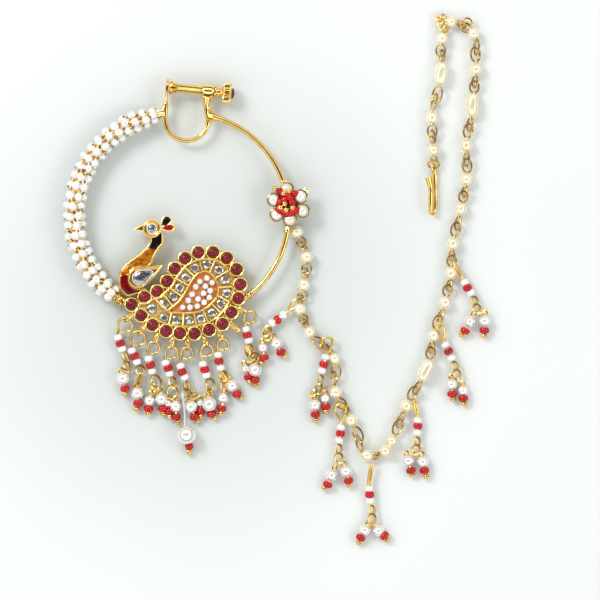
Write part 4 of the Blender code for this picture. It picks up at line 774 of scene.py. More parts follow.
def peacock(casting):
    # Neck: strips between two curves; head: a turned profile; wing, beak and crest: crowned outlines.
    bottom = plate["back"] + 0.0002
    base = bottom + 0.0013
    crest = plate["back"] + plate["ridge"]
    outer, inner = smoothPath(spots(neckOuter), 6), smoothPath(spots(neckInner), 6)
    outline = np.concatenate([outer, inner[::-1]])
    casting.add(filletedPlate(offsetCurve(outline, 0.0003), bottom, base, 0.00015))
    for edge in (outer, inner):
        path = edge.copy()
        path[:, 2] = base + 0.0002
        casting.wire(path, 0.00021, 10)
    divider = np.array([outer[36], inner[36]]) + upward * (base + 0.0002)
    casting.wire(smoothPath(divider, 4), 0.00018, 8)
    for name, look, slot, first, last, node in (
            ("neckBand", "black", "black_enamel", 0, 2, "neck_band"),
            ("neckEnamel", "orange", "orange_enamel", 2, 6, "neck_enamel"),
            ("bellyEnamel", "deepRed", "red_enamel", 6, 10, "belly_enamel")):
        piece = Piece(name)
        piece.add(strip(neckOuter, neckInner, first, last, base - 0.0001, base + 0.00022, 0.00022), look)
        piece.finish("nath", slot, node)
    # Head: stepped bezel, then a white ring and the foiled stone
    head = spot(*bird["head"], bottom)
    r = bird["headRadius"]
    rise = crest - bottom
    casting.add(turnedSolid([(0, r * 0.96), (rise - 0.0005, r), (rise - 0.0001, r * 0.985), (rise, r * 0.92),
                             (rise - 0.0002, r * 0.84), (rise - 0.0003, r * 0.80), (rise - 0.00005, r * 0.76),
                             (rise - 0.0001, r * 0.70), (rise - 0.0003, r * 0.3)], head, upward, 40))
    eye = Piece("eyeStone")
    e = bird["eye"]
    eye.ring(0.00018, 10, head + upward * (rise - 0.00002), heading(0), e * 0.92, e * 0.92, look="whiteRim")
    eye.add(brilliant(head + upward * (rise - 0.0001), e * 0.84, 0.0005, 10.0), "polki", smooth=False)
    eye.finish("nath", "crystal", "eye_stone")
    # Beak a teardrop, crest leaf and crest drop egg-shaped, with a raised wire round each
    beak = dropOutline((146.0, 227.9), 0.00090, bird["beak"], 0.0, 34, 0.0003)
    casting.add(crowned(beak, bottom, base, 0.0003), "brown")
    casting.wire(beak + upward * base, 0.00018, 8, closed=True)
    for name, centre, turn, half, look, slot, node in (
            ("crestDrop", bird["crestBlack"], 52.0, (0.00128, 0.00098), "black", "black_enamel", "crest_drop"),
            ("crestLeaf", bird["crestRed"], 2.0, (0.00142, 0.00074), "brightRed", "red_enamel", "crest_leaf")):
        edge = ringPath(spot(*centre), heading(turn), *half, steps=40, taper=-0.22)
        rim = edge + (edge - edge.mean(axis=0)) * 0.10
        casting.add(filletedPlate(rim, bottom + 0.0003, base - 0.0003, 0.0001))
        casting.wire(rim + upward * (base - 0.0001), 0.00016, 8, closed=True)
        piece = Piece(name)
        piece.add(crowned(edge, base - 0.0003, base - 0.0001, 0.0003), look)
        piece.finish("nath", slot, node)
    for end in ((175.4, 225.6), (175.6, 230.8)):
        casting.wire(smoothPath([spot(173.6, 227.8, base - 0.0001), spot(*end, base)], 4), 0.00017, 8)
    # Wing: double rim round a long foiled stone
    wing = dropOutline(bird["wing"], bird["wingRadius"], bird["wingTip"], 0.0, 56, 0.0009)
    # Base under the wing's rims in dark gold: painted shade
    casting.add(filletedPlate(wing, bottom + 0.0001, crest - 0.0004, 0.00015), "goldPaintedShade")
    rim = wing + (wing.mean(axis=0) - wing) * 0.05
    casting.wire(rim + upward * (crest - 0.0003), 0.00033, 10, closed=True)
    rim = spot(*bird["innerRim"]) + (wing - spot(*bird["wing"])) * 0.80
    casting.wire(rim + upward * (crest - 0.00025), 0.00024, 10, closed=True)
    stone = Piece("wingStone")
    edge = ringPath(spot(*bird["stone"]), heading(25.0), *bird["stoneHalf"], steps=40, taper=0.34)
    stone.wire(edge + upward * (crest + 0.0001), 0.00014, 10, closed=True, look="whiteRim")
    stone.add(crowned(edge + (edge.mean(axis=0) - edge) * 0.04, crest - 0.0003, crest + 0.0001, 0.00045, 4), "polki",
              smooth=False)
    stone.finish("nath", "crystal", "wing_stone")


# Drops under the plate in grid points: loop, eye with its radius in millimetres, seed beads, ovals of wire
# (ends of the long way and width), drops (pearl with its radius in millimetres, red bead, gold ball)
loopRows = [
    {"loop": (133.5, 313.5), "loopEnd": (125.0, 321.0), "eye": (125.0, 325.0, 1.90),
     "seeds": [(118, 337.5), (119.8, 343.4), (122, 349)],
     "ovals": [(122.8, 352, 128.2, 365, 6.5, 20), (125.4, 360.5, 128.4, 373, 9, 8)],
     "drops": [[(122.8, 378.7, 1.55), (124.8, 388.7), (124.5, 394)]]},
    {"loop": (144.8, 324.5), "loopEnd": (138.8, 334.8), "eye": (138.0, 338.2, 1.92),
     "seeds": [(131.6, 350.8), (134.2, 356), (136.7, 362)],
     "ovals": [(138.4, 364.5, 141.6, 375.5, 10.5, 5), (140.4, 372, 138.6, 388.5, 5.5, 30),
               (138.6, 380, 137.4, 390, 4.5, 8)],
     "drops": [[(137, 393.4, 1.52), (137.7, 403.4), (136.6, 409.4)]]},
    {"loop": (157.4, 332.5), "loopEnd": (155.0, 343.5), "eye": (153.6, 347.4, 1.60),
     "seeds": [(148.5, 358.7), (150.3, 365.3), (151.8, 371.4)],
     "ovals": [(153.4, 374, 159.0, 391, 11.5, 6), (152.0, 383.0, 157.4, 393.8, 8, 34),
               (153.0, 391.5, 156.4, 393.5, 6, 0)],
     "drops": [[(149.2, 401, 1.30), (148.3, 409), (148.3, 414)], [(161.3, 399.4, 1.52), (162.4, 408.6), (163, 413.7)]]},
    {"loop": (172, 336.5), "loopEnd": (171.6, 348.0), "eye": (171.4, 352.6, 1.60),
     "seeds": [(165.4, 362.8), (167.9, 368), (169.5, 373.8)],
     "ovals": [(170.8, 376, 174.6, 389.5, 9.5, 12), (171.2, 384.5, 173.0, 400.5, 12.5, 4)],
     "drops": [[(167.2, 403.5, 0.95), (168.6, 411.9), None], [(175.6, 406.6, 1.42), (175.6, 417), (178, 422.3)]]},
    {"loop": (187.6, 338.5), "loopEnd": (187, 349.2), "eye": (186.8, 352.8, 1.55),
     "seeds": [(180.4, 366), (182, 372), (184.7, 377.4)],
     "ovals": [(185.2, 380, 188.0, 392.8, 7.5, 24), (186.4, 388.5, 188.6, 402.0, 10.5, 6),
               (190.4, 390, 196.0, 395.5, 6, 10)],
     "drops": [[(190.9, 407, 1.55), (194.2, 416.8), (197, 421)], [(200, 403.4, 0.85), (200.6, 411.6), None]]},
    {"loop": (203, 337), "loopEnd": (207.2, 346.8), "eye": (206.8, 350.4, 1.60),
     "seeds": [(202.8, 364), (204.5, 369.6), (206.5, 375.4)],
     "ovals": [(208.4, 377.8, 211.4, 389.8, 10.5, 4), (209.8, 386.4, 209.6, 398.8, 5.5, 30),
               (208.6, 391, 209.4, 397.6, 5, 0)],
     "drops": [[(209.1, 404.2, 1.82), (211.5, 414), (213.9, 418)]]},
    {"loop": (217.8, 330.5), "loopEnd": (222.8, 340.6), "eye": (223, 344.2, 1.50),
     "seeds": [(218, 354.7), (219, 361.3), (220.6, 368)],
     "ovals": [(221.8, 370, 228.4, 381.4, 7.5, 10), (219.6, 371.2, 225.6, 382.6, 7, 24),
               (221.6, 381, 224.4, 392.4, 6.5, 12)],
     "drops": [[(223.3, 398.2, 1.26), (221.8, 408.6), None], [(232.3, 386, 1.45), (237, 394), (240.5, 398)]]},
    {"loop": (237.5, 308), "loopEnd": (247.2, 313.2), "eye": (250, 317.0, 1.62),
     "seeds": [(245.8, 329.3), (247.2, 335), (248.6, 340.5)],
     "ovals": [(248.6, 343.4, 253.2, 357, 8, 8), (246.0, 344.4, 249.6, 358.4, 6, 30),
               (252.2, 352, 256.6, 362.2, 10.5, 0)],
     "drops": [[(254.9, 370, 1.62), (254.9, 379.8), (256, 384.9)], [(245.6, 369, 0.92), (247.9, 377), None]]},
]
dropSizes = {"pearl": 0.00140, "swell": 1.05, "red": 0.00124, "redHalf": 0.00078, "seedRed": (0.00118, 0.00082),
             "white": (0.00106, 0.00078), "ball": 0.00078, "wire": 0.00030}


def seedBeads(piece, places):
    # White, red and white bead on one line.
    axis = unit(places[-1] - places[0])
    for k, place in enumerate(places):
        name, look = ("seedRed", "redBead") if k % 2 else ("white", "whiteBead")
        tilt = unit(axis + np.cross(upward, axis) * rng.normal() * 0.12)
        piece.add(bead(place, tilt, *dropSizes[name], 3.2, 0.35, 9, 18), look)
    piece.wire([places[0] - axis * 0.0009, places[0], places[-1], places[-1] + axis * 0.0010], 0.00022, 8)
    return axis


def eyeLoop(piece, centre, radius, foot, lean=1.0):
    # Bent eye: the wire climbs the left side from its foot, goes over the top and returns to it below.
    turns = np.array([(-0.95, -0.75), (-1.0, -0.05), (-0.72, 0.68), (-0.05, 1.0), (0.68, 0.74), (1.0, 0.05),
                      (0.80, -0.66), (0.15, -0.95), (-0.50, -0.98), (-0.70, -0.92)])
    path = centre + radius * np.stack([turns[:, 0] * lean, turns[:, 1], 0.34 * turns[:, 1]], axis=1)
    path[-2:, 2] += 0.00035
    piece.wire(smoothPath([foot, *path], 5), dropSizes["wire"] * 1.15, 9, look="loopGold")


def wireOvals(piece, rows, level=0.0014):
    # Rings of wire, each given by the ends of its long way, its width and how far it leans.
    for x1, y1, x2, y2, width, tilt in rows:
        a, b = spot(x1, y1, level + 0.0002), spot(x2, y2, level - 0.0002)
        half = np.linalg.norm(b - a) / 2 - dropSizes["wire"]
        side = max(width * gridStep / 2 - dropSizes["wire"], 0.0004) / max(math.cos(math.radians(tilt)), 0.5)
        side = min(side, (level - 0.00035) / max(math.sin(math.radians(tilt)), 0.05))
        piece.ring(dropSizes["wire"] * 1.08, 9, (a + b) / 2, b - a, half, side, tilt, look="loopGold")


def ballWithPaintedReflection(piece, place, size, direction):
    # Ball with a painted dark reflection bent over its top: a thin dark wire through three points at 0.84 to 0.96 of
    # its radius.
    across = unit(np.cross(upward, direction) + 1e-6)
    piece.add(bead(place, across, size, None, 2, 0.1, 11, 16))
    corners = (-0.55, 0.84), (0.0, 0.96), (0.55, 0.84)
    paintedReflection = [place + size * (upward * rise + across * reach) for reach, rise in corners]
    piece.wire(paintedReflection, [size * 0.13, size * 0.17, size * 0.13], 6, look="hole")


def hangingDrop(piece, link, rows):
    # Eye, pearl, red bead and gold ball on one wire.
    pearl, red, ball = rows
    size = (pearl[2] * 0.001 if len(pearl) > 2 else dropSizes["pearl"]) * dropSizes["swell"]
    share = 1.0 if size > 0.0011 else 0.86
    centre = spot(*pearl[:2], size + 0.00005)
    below = spot(*red, dropSizes["red"] * share + 0.00005)
    axis = unit(below - centre)
    eyeCentre = centre - axis * (size + 0.00050)
    piece.add(bead(centre, axis, size, size * 0.97, 2.1, 0.2, 12, 22), "drop")
    piece.add(bead(below, axis, dropSizes["red"] * share, dropSizes["redHalf"], 3.0, 0.3, 9, 18), "redBead")
    end = spot(*ball, dropSizes["ball"] + 0.0001) if ball else below + axis * 0.0012
    ballWithPaintedReflection(piece, end, dropSizes["ball"] * share, axis)
    top = centre - axis * (size + 0.0002)
    piece.wire([top, centre, below, end], 0.00020, 8)
    piece.ring(0.00022, 8, eyeCentre, axis, 0.00062, 0.00056, 18)
    piece.wire(coilPath(top, centre - axis * (size - 0.0001), 0.00034, 1.6), 0.00015, 7)
    reach = link - eyeCentre
    if np.linalg.norm(reach) > 0.0012:
        bend = eyeCentre + reach * 0.5 - axis * 0.0002
        piece.wire(smoothPath([eyeCentre - axis * 0.0003, bend, link], 5), 0.00022, 8)


def lowerDrops(piece, row):
    # The wire ovals of one string, and its two drops from the lowest of them.
    wireOvals(piece, row["ovals"])
    lowest = max(row["ovals"], key=lambda oval: oval[3])
    for rows in row["drops"]:
        hangingDrop(piece, spot(*lowest[2:4], 0.0013), rows)


def plateDrops():
    # Each string, down from its soldered loop: eye, three seed beads, ovals, hanging drops.
    piece = Piece("plateDrops")
    for row in loopRows:
        seeds = np.array([spot(*place, z) for place, z in zip(row["seeds"], (0.0017, 0.0015, 0.0014))])
        axis = seedBeads(piece, seeds)
        x, y, radius = row["eye"]
        eyeLoop(piece, spot(x, y, 0.0024), radius * 0.001 - 0.0001, seeds[0] - axis * 0.0008)
        piece.wire(coilPath(seeds[-1] + axis * 0.0007, seeds[-1] + axis * 0.0012, 0.00034, 2), 0.00016, 7)
        lowerDrops(piece, row)
    piece.finish("nath", "pearl", *[f"plate_dangle_{k}" for k in range(1, 9)])


def centreDrop():
    # Thread, uneven pearl, red bead and ball on one line.
    piece = Piece("centreDrop")
    pearl, red, ball = spot(186.4, 434.5, 0.00266), spot(189, 446.2, 0.0012), spot(189.1, 452.4, 0.0009)
    axis = unit(red - pearl)
    top = spot(183, 399, 0.0029)
    piece.add(oddPearl(pearl, axis, 0.00235, 0.00240, 3, 16, 26), "drop")
    piece.add(bead(red, axis, 0.00104, 0.00092, 3.0, 0.3, 9, 18), "redBead")
    ballWithPaintedReflection(piece, ball, 0.00084, axis)
    piece.wire(smoothPath([top, spot(184.6, 413, 0.0027), pearl - axis * 0.0022], 6), 0.00021, 8, look="thread")
    piece.wire([pearl - axis * 0.0022, pearl, red, ball], 0.00020, 8)
    piece.ring(0.00022, 10, top + np.array([0, 0.0009, 0]), np.array([0, 1.0, 0]), 0.0010, 0.0010, 80, look="thread")
    piece.finish("nath", "pearl", "centre_drop")


# Flower

flower = {"centre": (288.7, 205), "pearl": 0.00150, "cup": 0.00172, "red": 0.00108, "ball": 0.00072,
          "petals": [(286.8, 189.5), (300.6, 196.8), (302.7, 211.1), (290.2, 220.1), (276.8, 214.8), (274.1, 200.1)],
          "reds": [(279.6, 191.6), (295.2, 193.6), (278.8, 202.2), (278.2, 211.2), (297.4, 210.8), (288.4, 215.2),
                   (290.2, 197.8), (284.0, 199.6), (292.4, 202.6), (283.4, 212.4), (292.2, 212.6), (288.0, 194.6),
                   (287.8, 202.6), (283.4, 204.8), (288.6, 207.0), (282.0, 195.8), (294.6, 206.4), (280.6, 206.2)],
          "balls": [(274.8, 188.9), (283.6, 193.8), (289.2, 191.4), (284.8, 204.2), (280.3, 208.0), (286.2, 210.5),
                    (292.7, 208.3)]}


def wiredFlower():
    # Six cups, turned profiles with a pearl each, round a cluster of red beads and balls.
    setting, heart = Piece("flowerSetting"), Piece("flowerHeart")
    low = hoop["level"] + hoop["wire"] + 0.0001
    middle = spot(*flower["centre"], low)
    # Base and cups under the pearls in dark gold: painted shade
    setting.add(turnedSolid([(0, 0.0029), (0.0003, 0.0031), (0.0006, 0.0029)], middle, upward, 30), "goldPaintedShade")
    for petal in flower["petals"]:
        foot = spot(*petal, low)
        r = flower["cup"]
        setting.add(turnedSolid([(0.0, r * 0.7), (0.0003, r * 0.98), (0.0009, r), (0.00115, r * 0.94),
                                 (0.0010, r * 0.86), (0.0006, r * 0.5)], foot, upward, 24), "goldPaintedShade")
        ring = ringPath(foot + upward * 0.00115, heading(0), r * 0.95, r * 0.95)
        setting.wire(ring, 0.00020, 8, closed=True, look="petalRim")
        setting.add(bead(foot + upward * 0.00125, unit(upward + heading(30) * 0.4), flower["pearl"],
                         flower["pearl"] * 0.8, 2.1, 0.12, 10, 20), "petal")
    setting.finish("nath", "gold", "flower_setting")
    for k, red in enumerate(flower["reds"]):
        place = spot(*red, low + (0.0019 if k < 6 else 0.0020 if k < 12 else 0.0011))
        heart.add(bead(place, unit(place - middle + upward * 0.0005), flower["red"] * 0.92, 0.00070, 2.6, 0.3, 9, 16),
                  "redBead" if k < 12 else "deepRed")
    for ball in flower["balls"]:
        place = spot(*ball, low + 0.00248)
        reach = min(1.0, 0.0030 / max(np.linalg.norm((place - middle)[:2]), 1e-6))
        place[2] -= (1 - reach) * 0.0012
        ballWithPaintedReflection(heart, place, flower["ball"] * 1.04, heading(rng.uniform(75, 105)))
    heart.add(turnedSolid([(0.0006, 0.0021), (0.0014, 0.0019), (0.0019, 0.0010)], middle, upward, 20), "deepRed")
    for points in (((281.4, 180.5), (284, 184.5), (289.4, 183.2), (283.0, 181.4)),
                   ((286.4, 229.5), (288.4, 226.6), (292.0, 226.4)),
                   ((304.0, 191.0), (305.6, 188.6), (307.2, 190.4), (306.2, 193.2), (308.4, 192.6))):
        heart.wire(smoothPath([spot(*point, low + 0.0004) for point in points], 6), 0.00026, 8)
    heart.finish("nath", "red_enamel", "flower_centre")


# Pearl chain: places in grid points with half widths and half lengths in millimetres

chainPearls = [(296.6, 231.6, 1.60, 1.50), (306.7, 257, 1.5, 1.45), (304, 285, 1.5, 1.5), (300.5, 309.5, 1.5, 1.45),
               (309.6, 332, 1.5, 1.5), (334.4, 358.7, 1.4, 1.4), (335.7, 392.5, 1.5, 1.5), (351.6, 420.4, 1.5, 1.5),
               (367, 455.6, 1.45, 1.4), (385.3, 451, 1.5, 1.45), (392, 440.8, 1.4, 1.4), (406.5, 406, 1.5, 1.5),
               (425.7, 370.2, 1.65, 2.9), (434, 335.5, 1.45, 1.45), (445, 302.8, 1.5, 1.5),
               (451.3, 273, 1.45, 1.5), (453, 243.5, 1.55, 1.6), (461.2, 208.8, 1.45, 1.6), (466.8, 179.6, 1.45, 1.5),
               (466.8, 145, 1.5, 1.6), (472.6, 105, 1.6, 2.95), (476, 68.8, 1.5, 1.5), (474, 33.7, 1.5, 1.4),
               (451.6, 21.8, 1.45, 1.4), (442.5, 38, 1.45, 1.4), (441, 73.7, 1.6, 2.9), (432, 117.4, 1.5, 1.5),
               (433.6, 150, 1.5, 1.45)]
chain = {"wire": 0.00026, "eyeWidth": 0.00118, "level": 0.0015, "split": 14, "exit": 0.00094}


def chainLinks(piece, first, last):
    # Each pearl lies along the mean of the ways to its neighbours, with a wire oval towards each.
    places = np.array([spot(x, y, chain["level"]) for x, y, _, _ in chainPearls])
    count = len(places)
    for k in range(first, last):
        x, y, wide, long = chainPearls[k]
        before = places[k - 1] if k else spot(288.5, 222, chain["level"])
        after = places[k + 1] if k + 1 < count else spot(433.6, 163.8, chain["level"])
        axis = unit(unit(places[k] - before) + unit(after - places[k]))
        if wide * 1.4 > long:
            axis = unit(axis + np.array([rng.normal(), rng.normal(), 0]) * 0.05)
        seat = places[k] + upward * max(0.0, wide * 0.00112 - chain["level"])
        piece.add(oddPearl(seat, axis, wide * 0.001, long * 0.001, k + 11), "cream")
        for side, neighbour in ((-1, before), (1, after)):
            start = places[k] + axis * side * long * chain["exit"]
            reach = neighbour - start
            gap = np.linalg.norm(reach)
            if 0 <= k + side < count:
                gap -= chainPearls[k + side][3] * chain["exit"]
            # Dark cap where the wire leaves the pearl: painted shade
            piece.add(bead(start, axis, 0.00036, 0.00016, 2, 0.3, 4, 10), "goldPaintedShade")
            if gap < 0.0009:
                piece.wire([start, start + unit(reach) * max(gap, 0.0003)], chain["wire"], 8)
                continue
            half, neck, direction = gap * 0.30, gap * 0.06, unit(reach)
            middle = start + direction * (neck + half)
            neckEnd = start + direction * (neck + 0.0002)
            tilt = 14 if side == 1 else 58
            piece.wire([places[k], start, neckEnd], chain["wire"], 8)
            piece.wire(coilPath(start, neckEnd, 0.00030, 1.6), 0.00015, 7)
            piece.ring(chain["wire"], 9, middle, direction, half, min(chain["eyeWidth"], half * 1.15), tilt, 30,
                       look="chainGold")


def pearlChain():
    # Both parts of the chain, the ring at its root and the loose wire ends at its top.
    lower, upper = Piece("chainLower"), Piece("chainUpper")
    chainLinks(lower, 0, chain["split"])
    chainLinks(upper, chain["split"], len(chainPearls))
    # Ring round the hoop wire under the flower
    root = hoopPath(1, -9.4, -9.4, 1)[0]
    out = heading(-9.4)
    lower.ring(0.00022, 10, root + out * 0.0001, out, 0.00100, 0.00100, 90)
    # Loose wire ends and coil at the chain's top, and the ring above the hook
    for centre, tilt in (((443.6, 18.4), 35), ((440.6, 20.6), 60), ((441.0, 25.2), 20)):
        upper.ring(0.00026, 9, spot(*centre, 0.0014), heading(60 + tilt), 0.0011, 0.0008, tilt)
    for start, end in (((446, 17.5), (435.5, 15.6)), ((440.5, 20.5), (434.6, 18.0))):
        upper.wire(smoothPath([spot(*start, 0.0014), spot(*end, 0.0012)], 4), 0.00024, 8)
    upper.ring(0.00026, 9, spot(467.7, 22.4, 0.0014), heading(-60), 0.0012, 0.0011, 20)
    # Ring above the hook in dark gold: painted shade
    upper.ring(0.00026, 10, spot(433.7, 164.0, 0.0015), heading(0), 0.00135, 0.00100, 14, look="goldPaintedShade")
    lower.finish("nath", "pearl", "chain_lower")
    upper.finish("nath", "pearl", "chain_upper")


# Drops of the chain, as the plate's; the ring is the oval that hangs on the chain
chainRows = [
    {"ring": (299.5, 299, 288.0, 311.5, 9.0, 8, 0.5), "seeds": [(283.4, 315), (277.7, 319.8), (272, 323.2)],
     "ovals": [(270.2, 325, 263.8, 337.5, 9.5, 10), (267.6, 326.5, 269.2, 341, 8, 24)],
     "drops": [[(276.7, 343.6, 1.40), (281, 352.2), (284.4, 356)], [(262.8, 348, 1.15), (264, 357.7), (261.6, 363.3)]]},
    {"ring": (327.0, 336, 327.6, 354.5, 12.5, 6, 0.62), "seeds": [(325.8, 357), (323.6, 364.4), (322.2, 370.8)],
     "ovals": [(320.8, 374, 320.0, 386, 8, 12), (320.2, 383, 317.8, 395.5, 8.5, 20), (317, 389, 309.5, 397.5, 4, 8)],
     "drops": [[(315.1, 405.2), (315.2, 414.5), (315.8, 420.6)], [(325.3, 398.8, 1.1), (325.8, 407), None]]},
    {"ring": (339.4, 403, 341.6, 423, 12.0, 8, 0.62), "seeds": [(341, 427.6), (340.4, 433.7), (339.4, 440.8)],
     "ovals": [(338.8, 443.5, 338.6, 455.5, 8, 14), (338.6, 452, 339.4, 464.5, 10, 6)],
     "drops": [[(331.7, 475.5), (327.7, 484.7), (324.6, 488.6)], [(346, 471.6), (348.6, 480.8), (349.6, 485.9)]]},
    {"ring": (372.2, 463, 368.6, 485, 5.4, 4, 0.0), "seeds": [(369.5, 488.8), (369.7, 494.8), (370.6, 501)],
     "ovals": [(371.2, 504.5, 372.6, 516.5, 8, 16), (372.4, 513, 372.4, 525, 9.5, 6)],
     "drops": [[(365, 530.4, 1.35), (360.8, 538), (358.8, 542.5)], [(378.7, 531, 1.35), (384.6, 536), (386.8, 540)]]},
    {"ring": (414.2, 399.5, 417.4, 416, 5.4, 4, 0.0), "seeds": [(418, 420.5), (418, 426), (417.4, 432.7)],
     "ovals": [(417.2, 436, 417.4, 447.5, 8, 14), (417.0, 444, 416.2, 455.5, 10, 6)],
     "drops": [[(408.3, 461), (411, 470.6), (412.3, 475.4)], [(423, 462), (424.6, 470.8), (426.6, 476.7)]]},
    {"ring": (438.4, 322, 444.0, 341, 9.0, 10, 0.55), "seeds": [(445.6, 345), (448.7, 351.4), (451.7, 358)],
     "ovals": [(453.4, 360.8, 457.2, 371.5, 8, 14), (456.6, 368.5, 457.6, 380.5, 9.5, 6)],
     "drops": [[(451.7, 384.5), (452.2, 394), (453.3, 399.2)], [(463, 390.8, 1.2), (463.5, 398.6), (464.5, 404.3)]]},
    {"ring": (453.6, 262, 462.4, 280, 5.4, 4, 0.0), "seeds": [(465.0, 282.2), (467.6, 287.8), (471.2, 292.9)],
     "ovals": [(473.4, 295.4, 476.4, 306, 8, 14), (476.4, 303, 478.0, 314, 9.5, 6)],
     "drops": [[(470, 321.6), (465.3, 330.7), (462, 334.6)], [(485, 321), (484.6, 330.4), (484.6, 336)]]},
]


def chainDrops():
    # Each string: tapered oval on the chain, three seed beads, ovals, hanging drops.
    piece = Piece("chainDrops")
    for row in chainRows:
        seeds = np.array([spot(*place, z) for place, z in zip(row["seeds"], (0.0014, 0.0013, 0.0013))])
        axis = seedBeads(piece, seeds)
        x1, y1, x2, y2, width, tilt, taper = row["ring"]
        start, top = spot(x1, y1, 0.0021), spot(x2, y2, 0.0017)
        size = 0.00034 if taper else 0.00033
        loop = ringPath((start + top) / 2, top - start, np.linalg.norm(top - start) / 2 - size,
                        width * gridStep / 2 - size, tilt, 32, taper)
        piece.wire(loop, size, 10, closed=True)
        piece.wire([top - axis * 0.0004, seeds[0] - axis * 0.0006, seeds[0]], 0.00026, 9)
        piece.wire(coilPath(seeds[0] - axis * 0.0013, seeds[0] - axis * 0.0007, 0.00034, 2), 0.00017, 7)
        lowerDrops(piece, row)
    piece.finish("nath", "pearl", *[f"chain_dangle_{k}" for k in range(1, 8)])


hook = {"wire": 0.00058, "route": [(434.6, 169.5, 0.0010), (435.2, 176, 0.0008), (435.4, 190, 0.0007),
                                   (435.4, 203, 0.0007), (434.8, 210.8, 0.0009), (432.9, 213.4, 0.0014),
                                   (431.2, 210.4, 0.0020), (430.8, 203, 0.0023), (430.8, 192, 0.0024),
                                   (429.8, 184, 0.0024), (428.2, 177.4, 0.0025)]}


def hairHook():
    # Smooth curve through the route as a tube, its radius growing evenly by 55 percent to the end.
    piece = Piece("hairHook")
    path = smoothPath([spot(x, y, z) for x, y, z in hook["route"]], 8)
    size = np.full(len(path), hook["wire"])
    size[-14:] = hook["wire"] * np.linspace(1.0, 1.55, 14)
    piece.wire(path, size, 14)
    piece.ring(0.00030, 10, spot(433.8, 167.6, 0.0014), heading(90), 0.0010, 0.00092, 62)
    piece.finish("nath", "gold", "hair_hook")


yokeAndHoop()
clampScrew()
pearlSleeve()
paisleyPlate()
plateDrops()
centreDrop()
wiredFlower()
pearlChain()
chainDrops()
hairHook()
print("nath: all pieces made")


# Surface, light and camera

# Table: size, two tones of its mottle, the tone of the painted shade round the piece, and that painted shade's middle,
# inner and outer reach
stage = {"size": 1.6, "light": (0.80, 0.835, 0.83), "shade": (0.775, 0.81, 0.805), "paintedShadeTone": (0.815, 0.84, 0.83),
         "middle": (200, 288), "inner": 0.022, "outer": 0.082}


def tableFinish():
    # Pale table with painted shade round the piece: its colour times a value that grows with the distance
    made = finish("paleTable", stage["light"], stage["shade"], 8, 0.0, (0.7, 0.8))
    tree = made.node_tree
    distance = addNode(tree, "VectorMath", operation="DISTANCE", inputs={
        0: addNode(tree, "TexCoord").outputs["Object"], 1: spot(*stage["middle"]) + carry})
    share = addNode(tree, "MapRange", interpolation_type="SMOOTHSTEP", inputs={
        "Value": distance.outputs["Value"], "From Min": stage["inner"], "From Max": stage["outer"]})
    paintedShade = addNode(tree, "Mix", data_type="RGBA", inputs={
        "Factor": share.outputs["Result"], "A": (*stage["paintedShadeTone"], 1), "B": (1, 1, 1, 1)})
    product = addNode(tree, "Mix", data_type="RGBA", blend_type="MULTIPLY", inputs={
        "Factor": 1, "A": tree.nodes["Group"].outputs["Color"], "B": paintedShade.outputs["Result"]})
    tree.links.new(product.outputs["Result"], tree.nodes["Principled BSDF"].inputs["Base Color"])
    return made


def setStage():
    # Square table at height 0.
    half = stage["size"] / 2
    mesh = bpy.data.meshes.new("paleTable")
    mesh.from_pydata([(-half, -half, 0), (half, -half, 0), (half, half, 0), (-half, half, 0)], [], [(0, 1, 2, 3)])
    table = bpy.data.objects.new("paleTable", mesh)
    bpy.context.collection.objects.link(table)
    mesh.materials.append(tableFinish())


# Light tent, by height above the table: dark low band, bright shoulder, duller top, and a dark strip straight above
tent = {"strength": 0.88, "strip": (0.15, 0.09, 0.045), "stripLong": (0.58, 0.78), "stripShort": (0.22, 0.34),
        "stripShift": 0.07,
        "bands": [(0.00, (0.09, 0.075, 0.06)), (0.14, (0.045, 0.038, 0.03)), (0.27, (0.09, 0.08, 0.07)),
                  (0.37, (1.50, 1.50, 1.48)), (0.72, (1.70, 1.72, 1.72)), (0.83, (1.02, 1.05, 1.05)),
                  (1.00, (0.92, 0.95, 0.95))]}


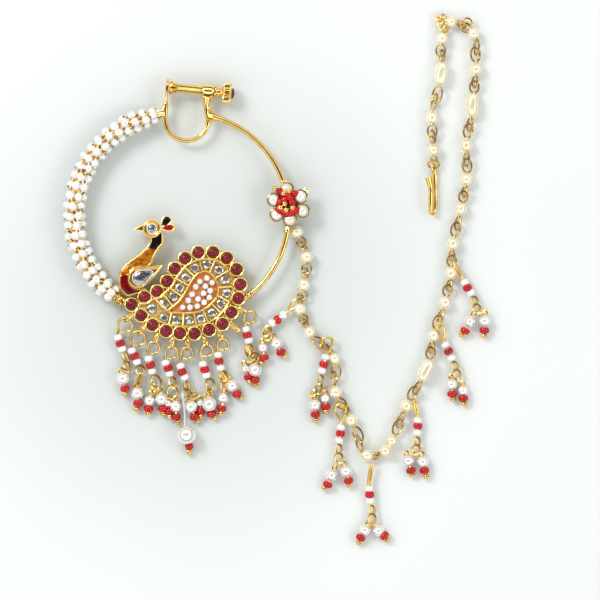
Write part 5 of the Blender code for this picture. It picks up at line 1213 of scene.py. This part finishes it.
def setSky():
    # Tent colour by height; the strip is dark where both |x| and |y - shift| are small.
    world = bpy.data.worlds.new("lightTent")
    bpy.context.scene.world = world
    world.use_nodes = True
    tree = world.node_tree
    parts = addNode(tree, "SeparateXYZ", {0: addNode(tree, "TexCoord").outputs["Generated"]}).outputs
    ramp = addNode(tree, "ValToRGB", {"Fac": parts["Z"]})
    marks = ramp.color_ramp.elements
    for mark, (position, colour) in zip([marks[0], marks[1]] + [marks.new(0.5) for _ in tent["bands"][2:]],
                                        tent["bands"]):
        mark.position = position
        mark.color = (*[value / 2 for value in colour], 1)
    edges = []
    for axis, name, shift in (("X", "stripLong", 0.0), ("Y", "stripShort", tent["stripShift"])):
        moved = addNode(tree, "Math", {0: parts[axis], 1: shift}, operation="SUBTRACT")
        distance = addNode(tree, "Math", {0: moved.outputs[0]}, operation="ABSOLUTE")
        edge = addNode(tree, "MapRange", {"Value": distance.outputs[0], "From Min": tent[name][0],
                                          "From Max": tent[name][1]})
        edges.append(edge.outputs["Result"])
    outside = addNode(tree, "Math", dict(enumerate(edges)), operation="MAXIMUM")
    mix = addNode(tree, "Mix", data_type="RGBA", inputs={
        "Factor": outside.outputs[0], "A": (*[value / 2 for value in tent["strip"]], 1), "B": ramp.outputs["Color"]})
    background = tree.nodes["Background"].inputs
    tree.links.new(mix.outputs["Result"], background["Color"])
    background["Strength"].default_value = 2 * tent["strength"]


lamps = {"softboxLeft": {"place": (-0.50, 0.42, 0.62), "size": 0.30, "power": 3.4},
         "softboxRight": {"place": (0.62, -0.10, 0.60), "size": 0.30, "power": 0.9}}


def setLights():
    # Square lamps that face the middle.
    for name, lamp in lamps.items():
        data = bpy.data.lights.new(name, "AREA")
        data.size = lamp["size"]
        data.energy = lamp["power"]
        made = bpy.data.objects.new(name, data)
        made.location = lamp["place"]
        x, y, z = lamp["place"]
        made.rotation_euler = (math.atan2(math.hypot(x, y), z), 0, math.atan2(-y, -x) - math.pi / 2)
        bpy.context.collection.objects.link(made)


def setCamera():
    # Looks straight down; its angle is 2 atan(half the view's width / height).
    data = bpy.data.cameras.new("viewFromAbove")
    view = bpy.data.objects.new("viewFromAbove", data)
    middle = spot(300, 300, 0.0025) + carry
    height = 0.9
    view.location = (middle[0], middle[1], middle[2] + height)
    view.rotation_euler = (0, 0, 0)
    data.angle = 2 * math.atan(300 * gridStep / height)
    bpy.context.collection.objects.link(view)
    bpy.context.scene.camera = view


setStage()
setSky()
setLights()
setCamera()
bpy.context.scene.view_settings.view_transform = "Standard"
print("nath: stage, light and camera set")
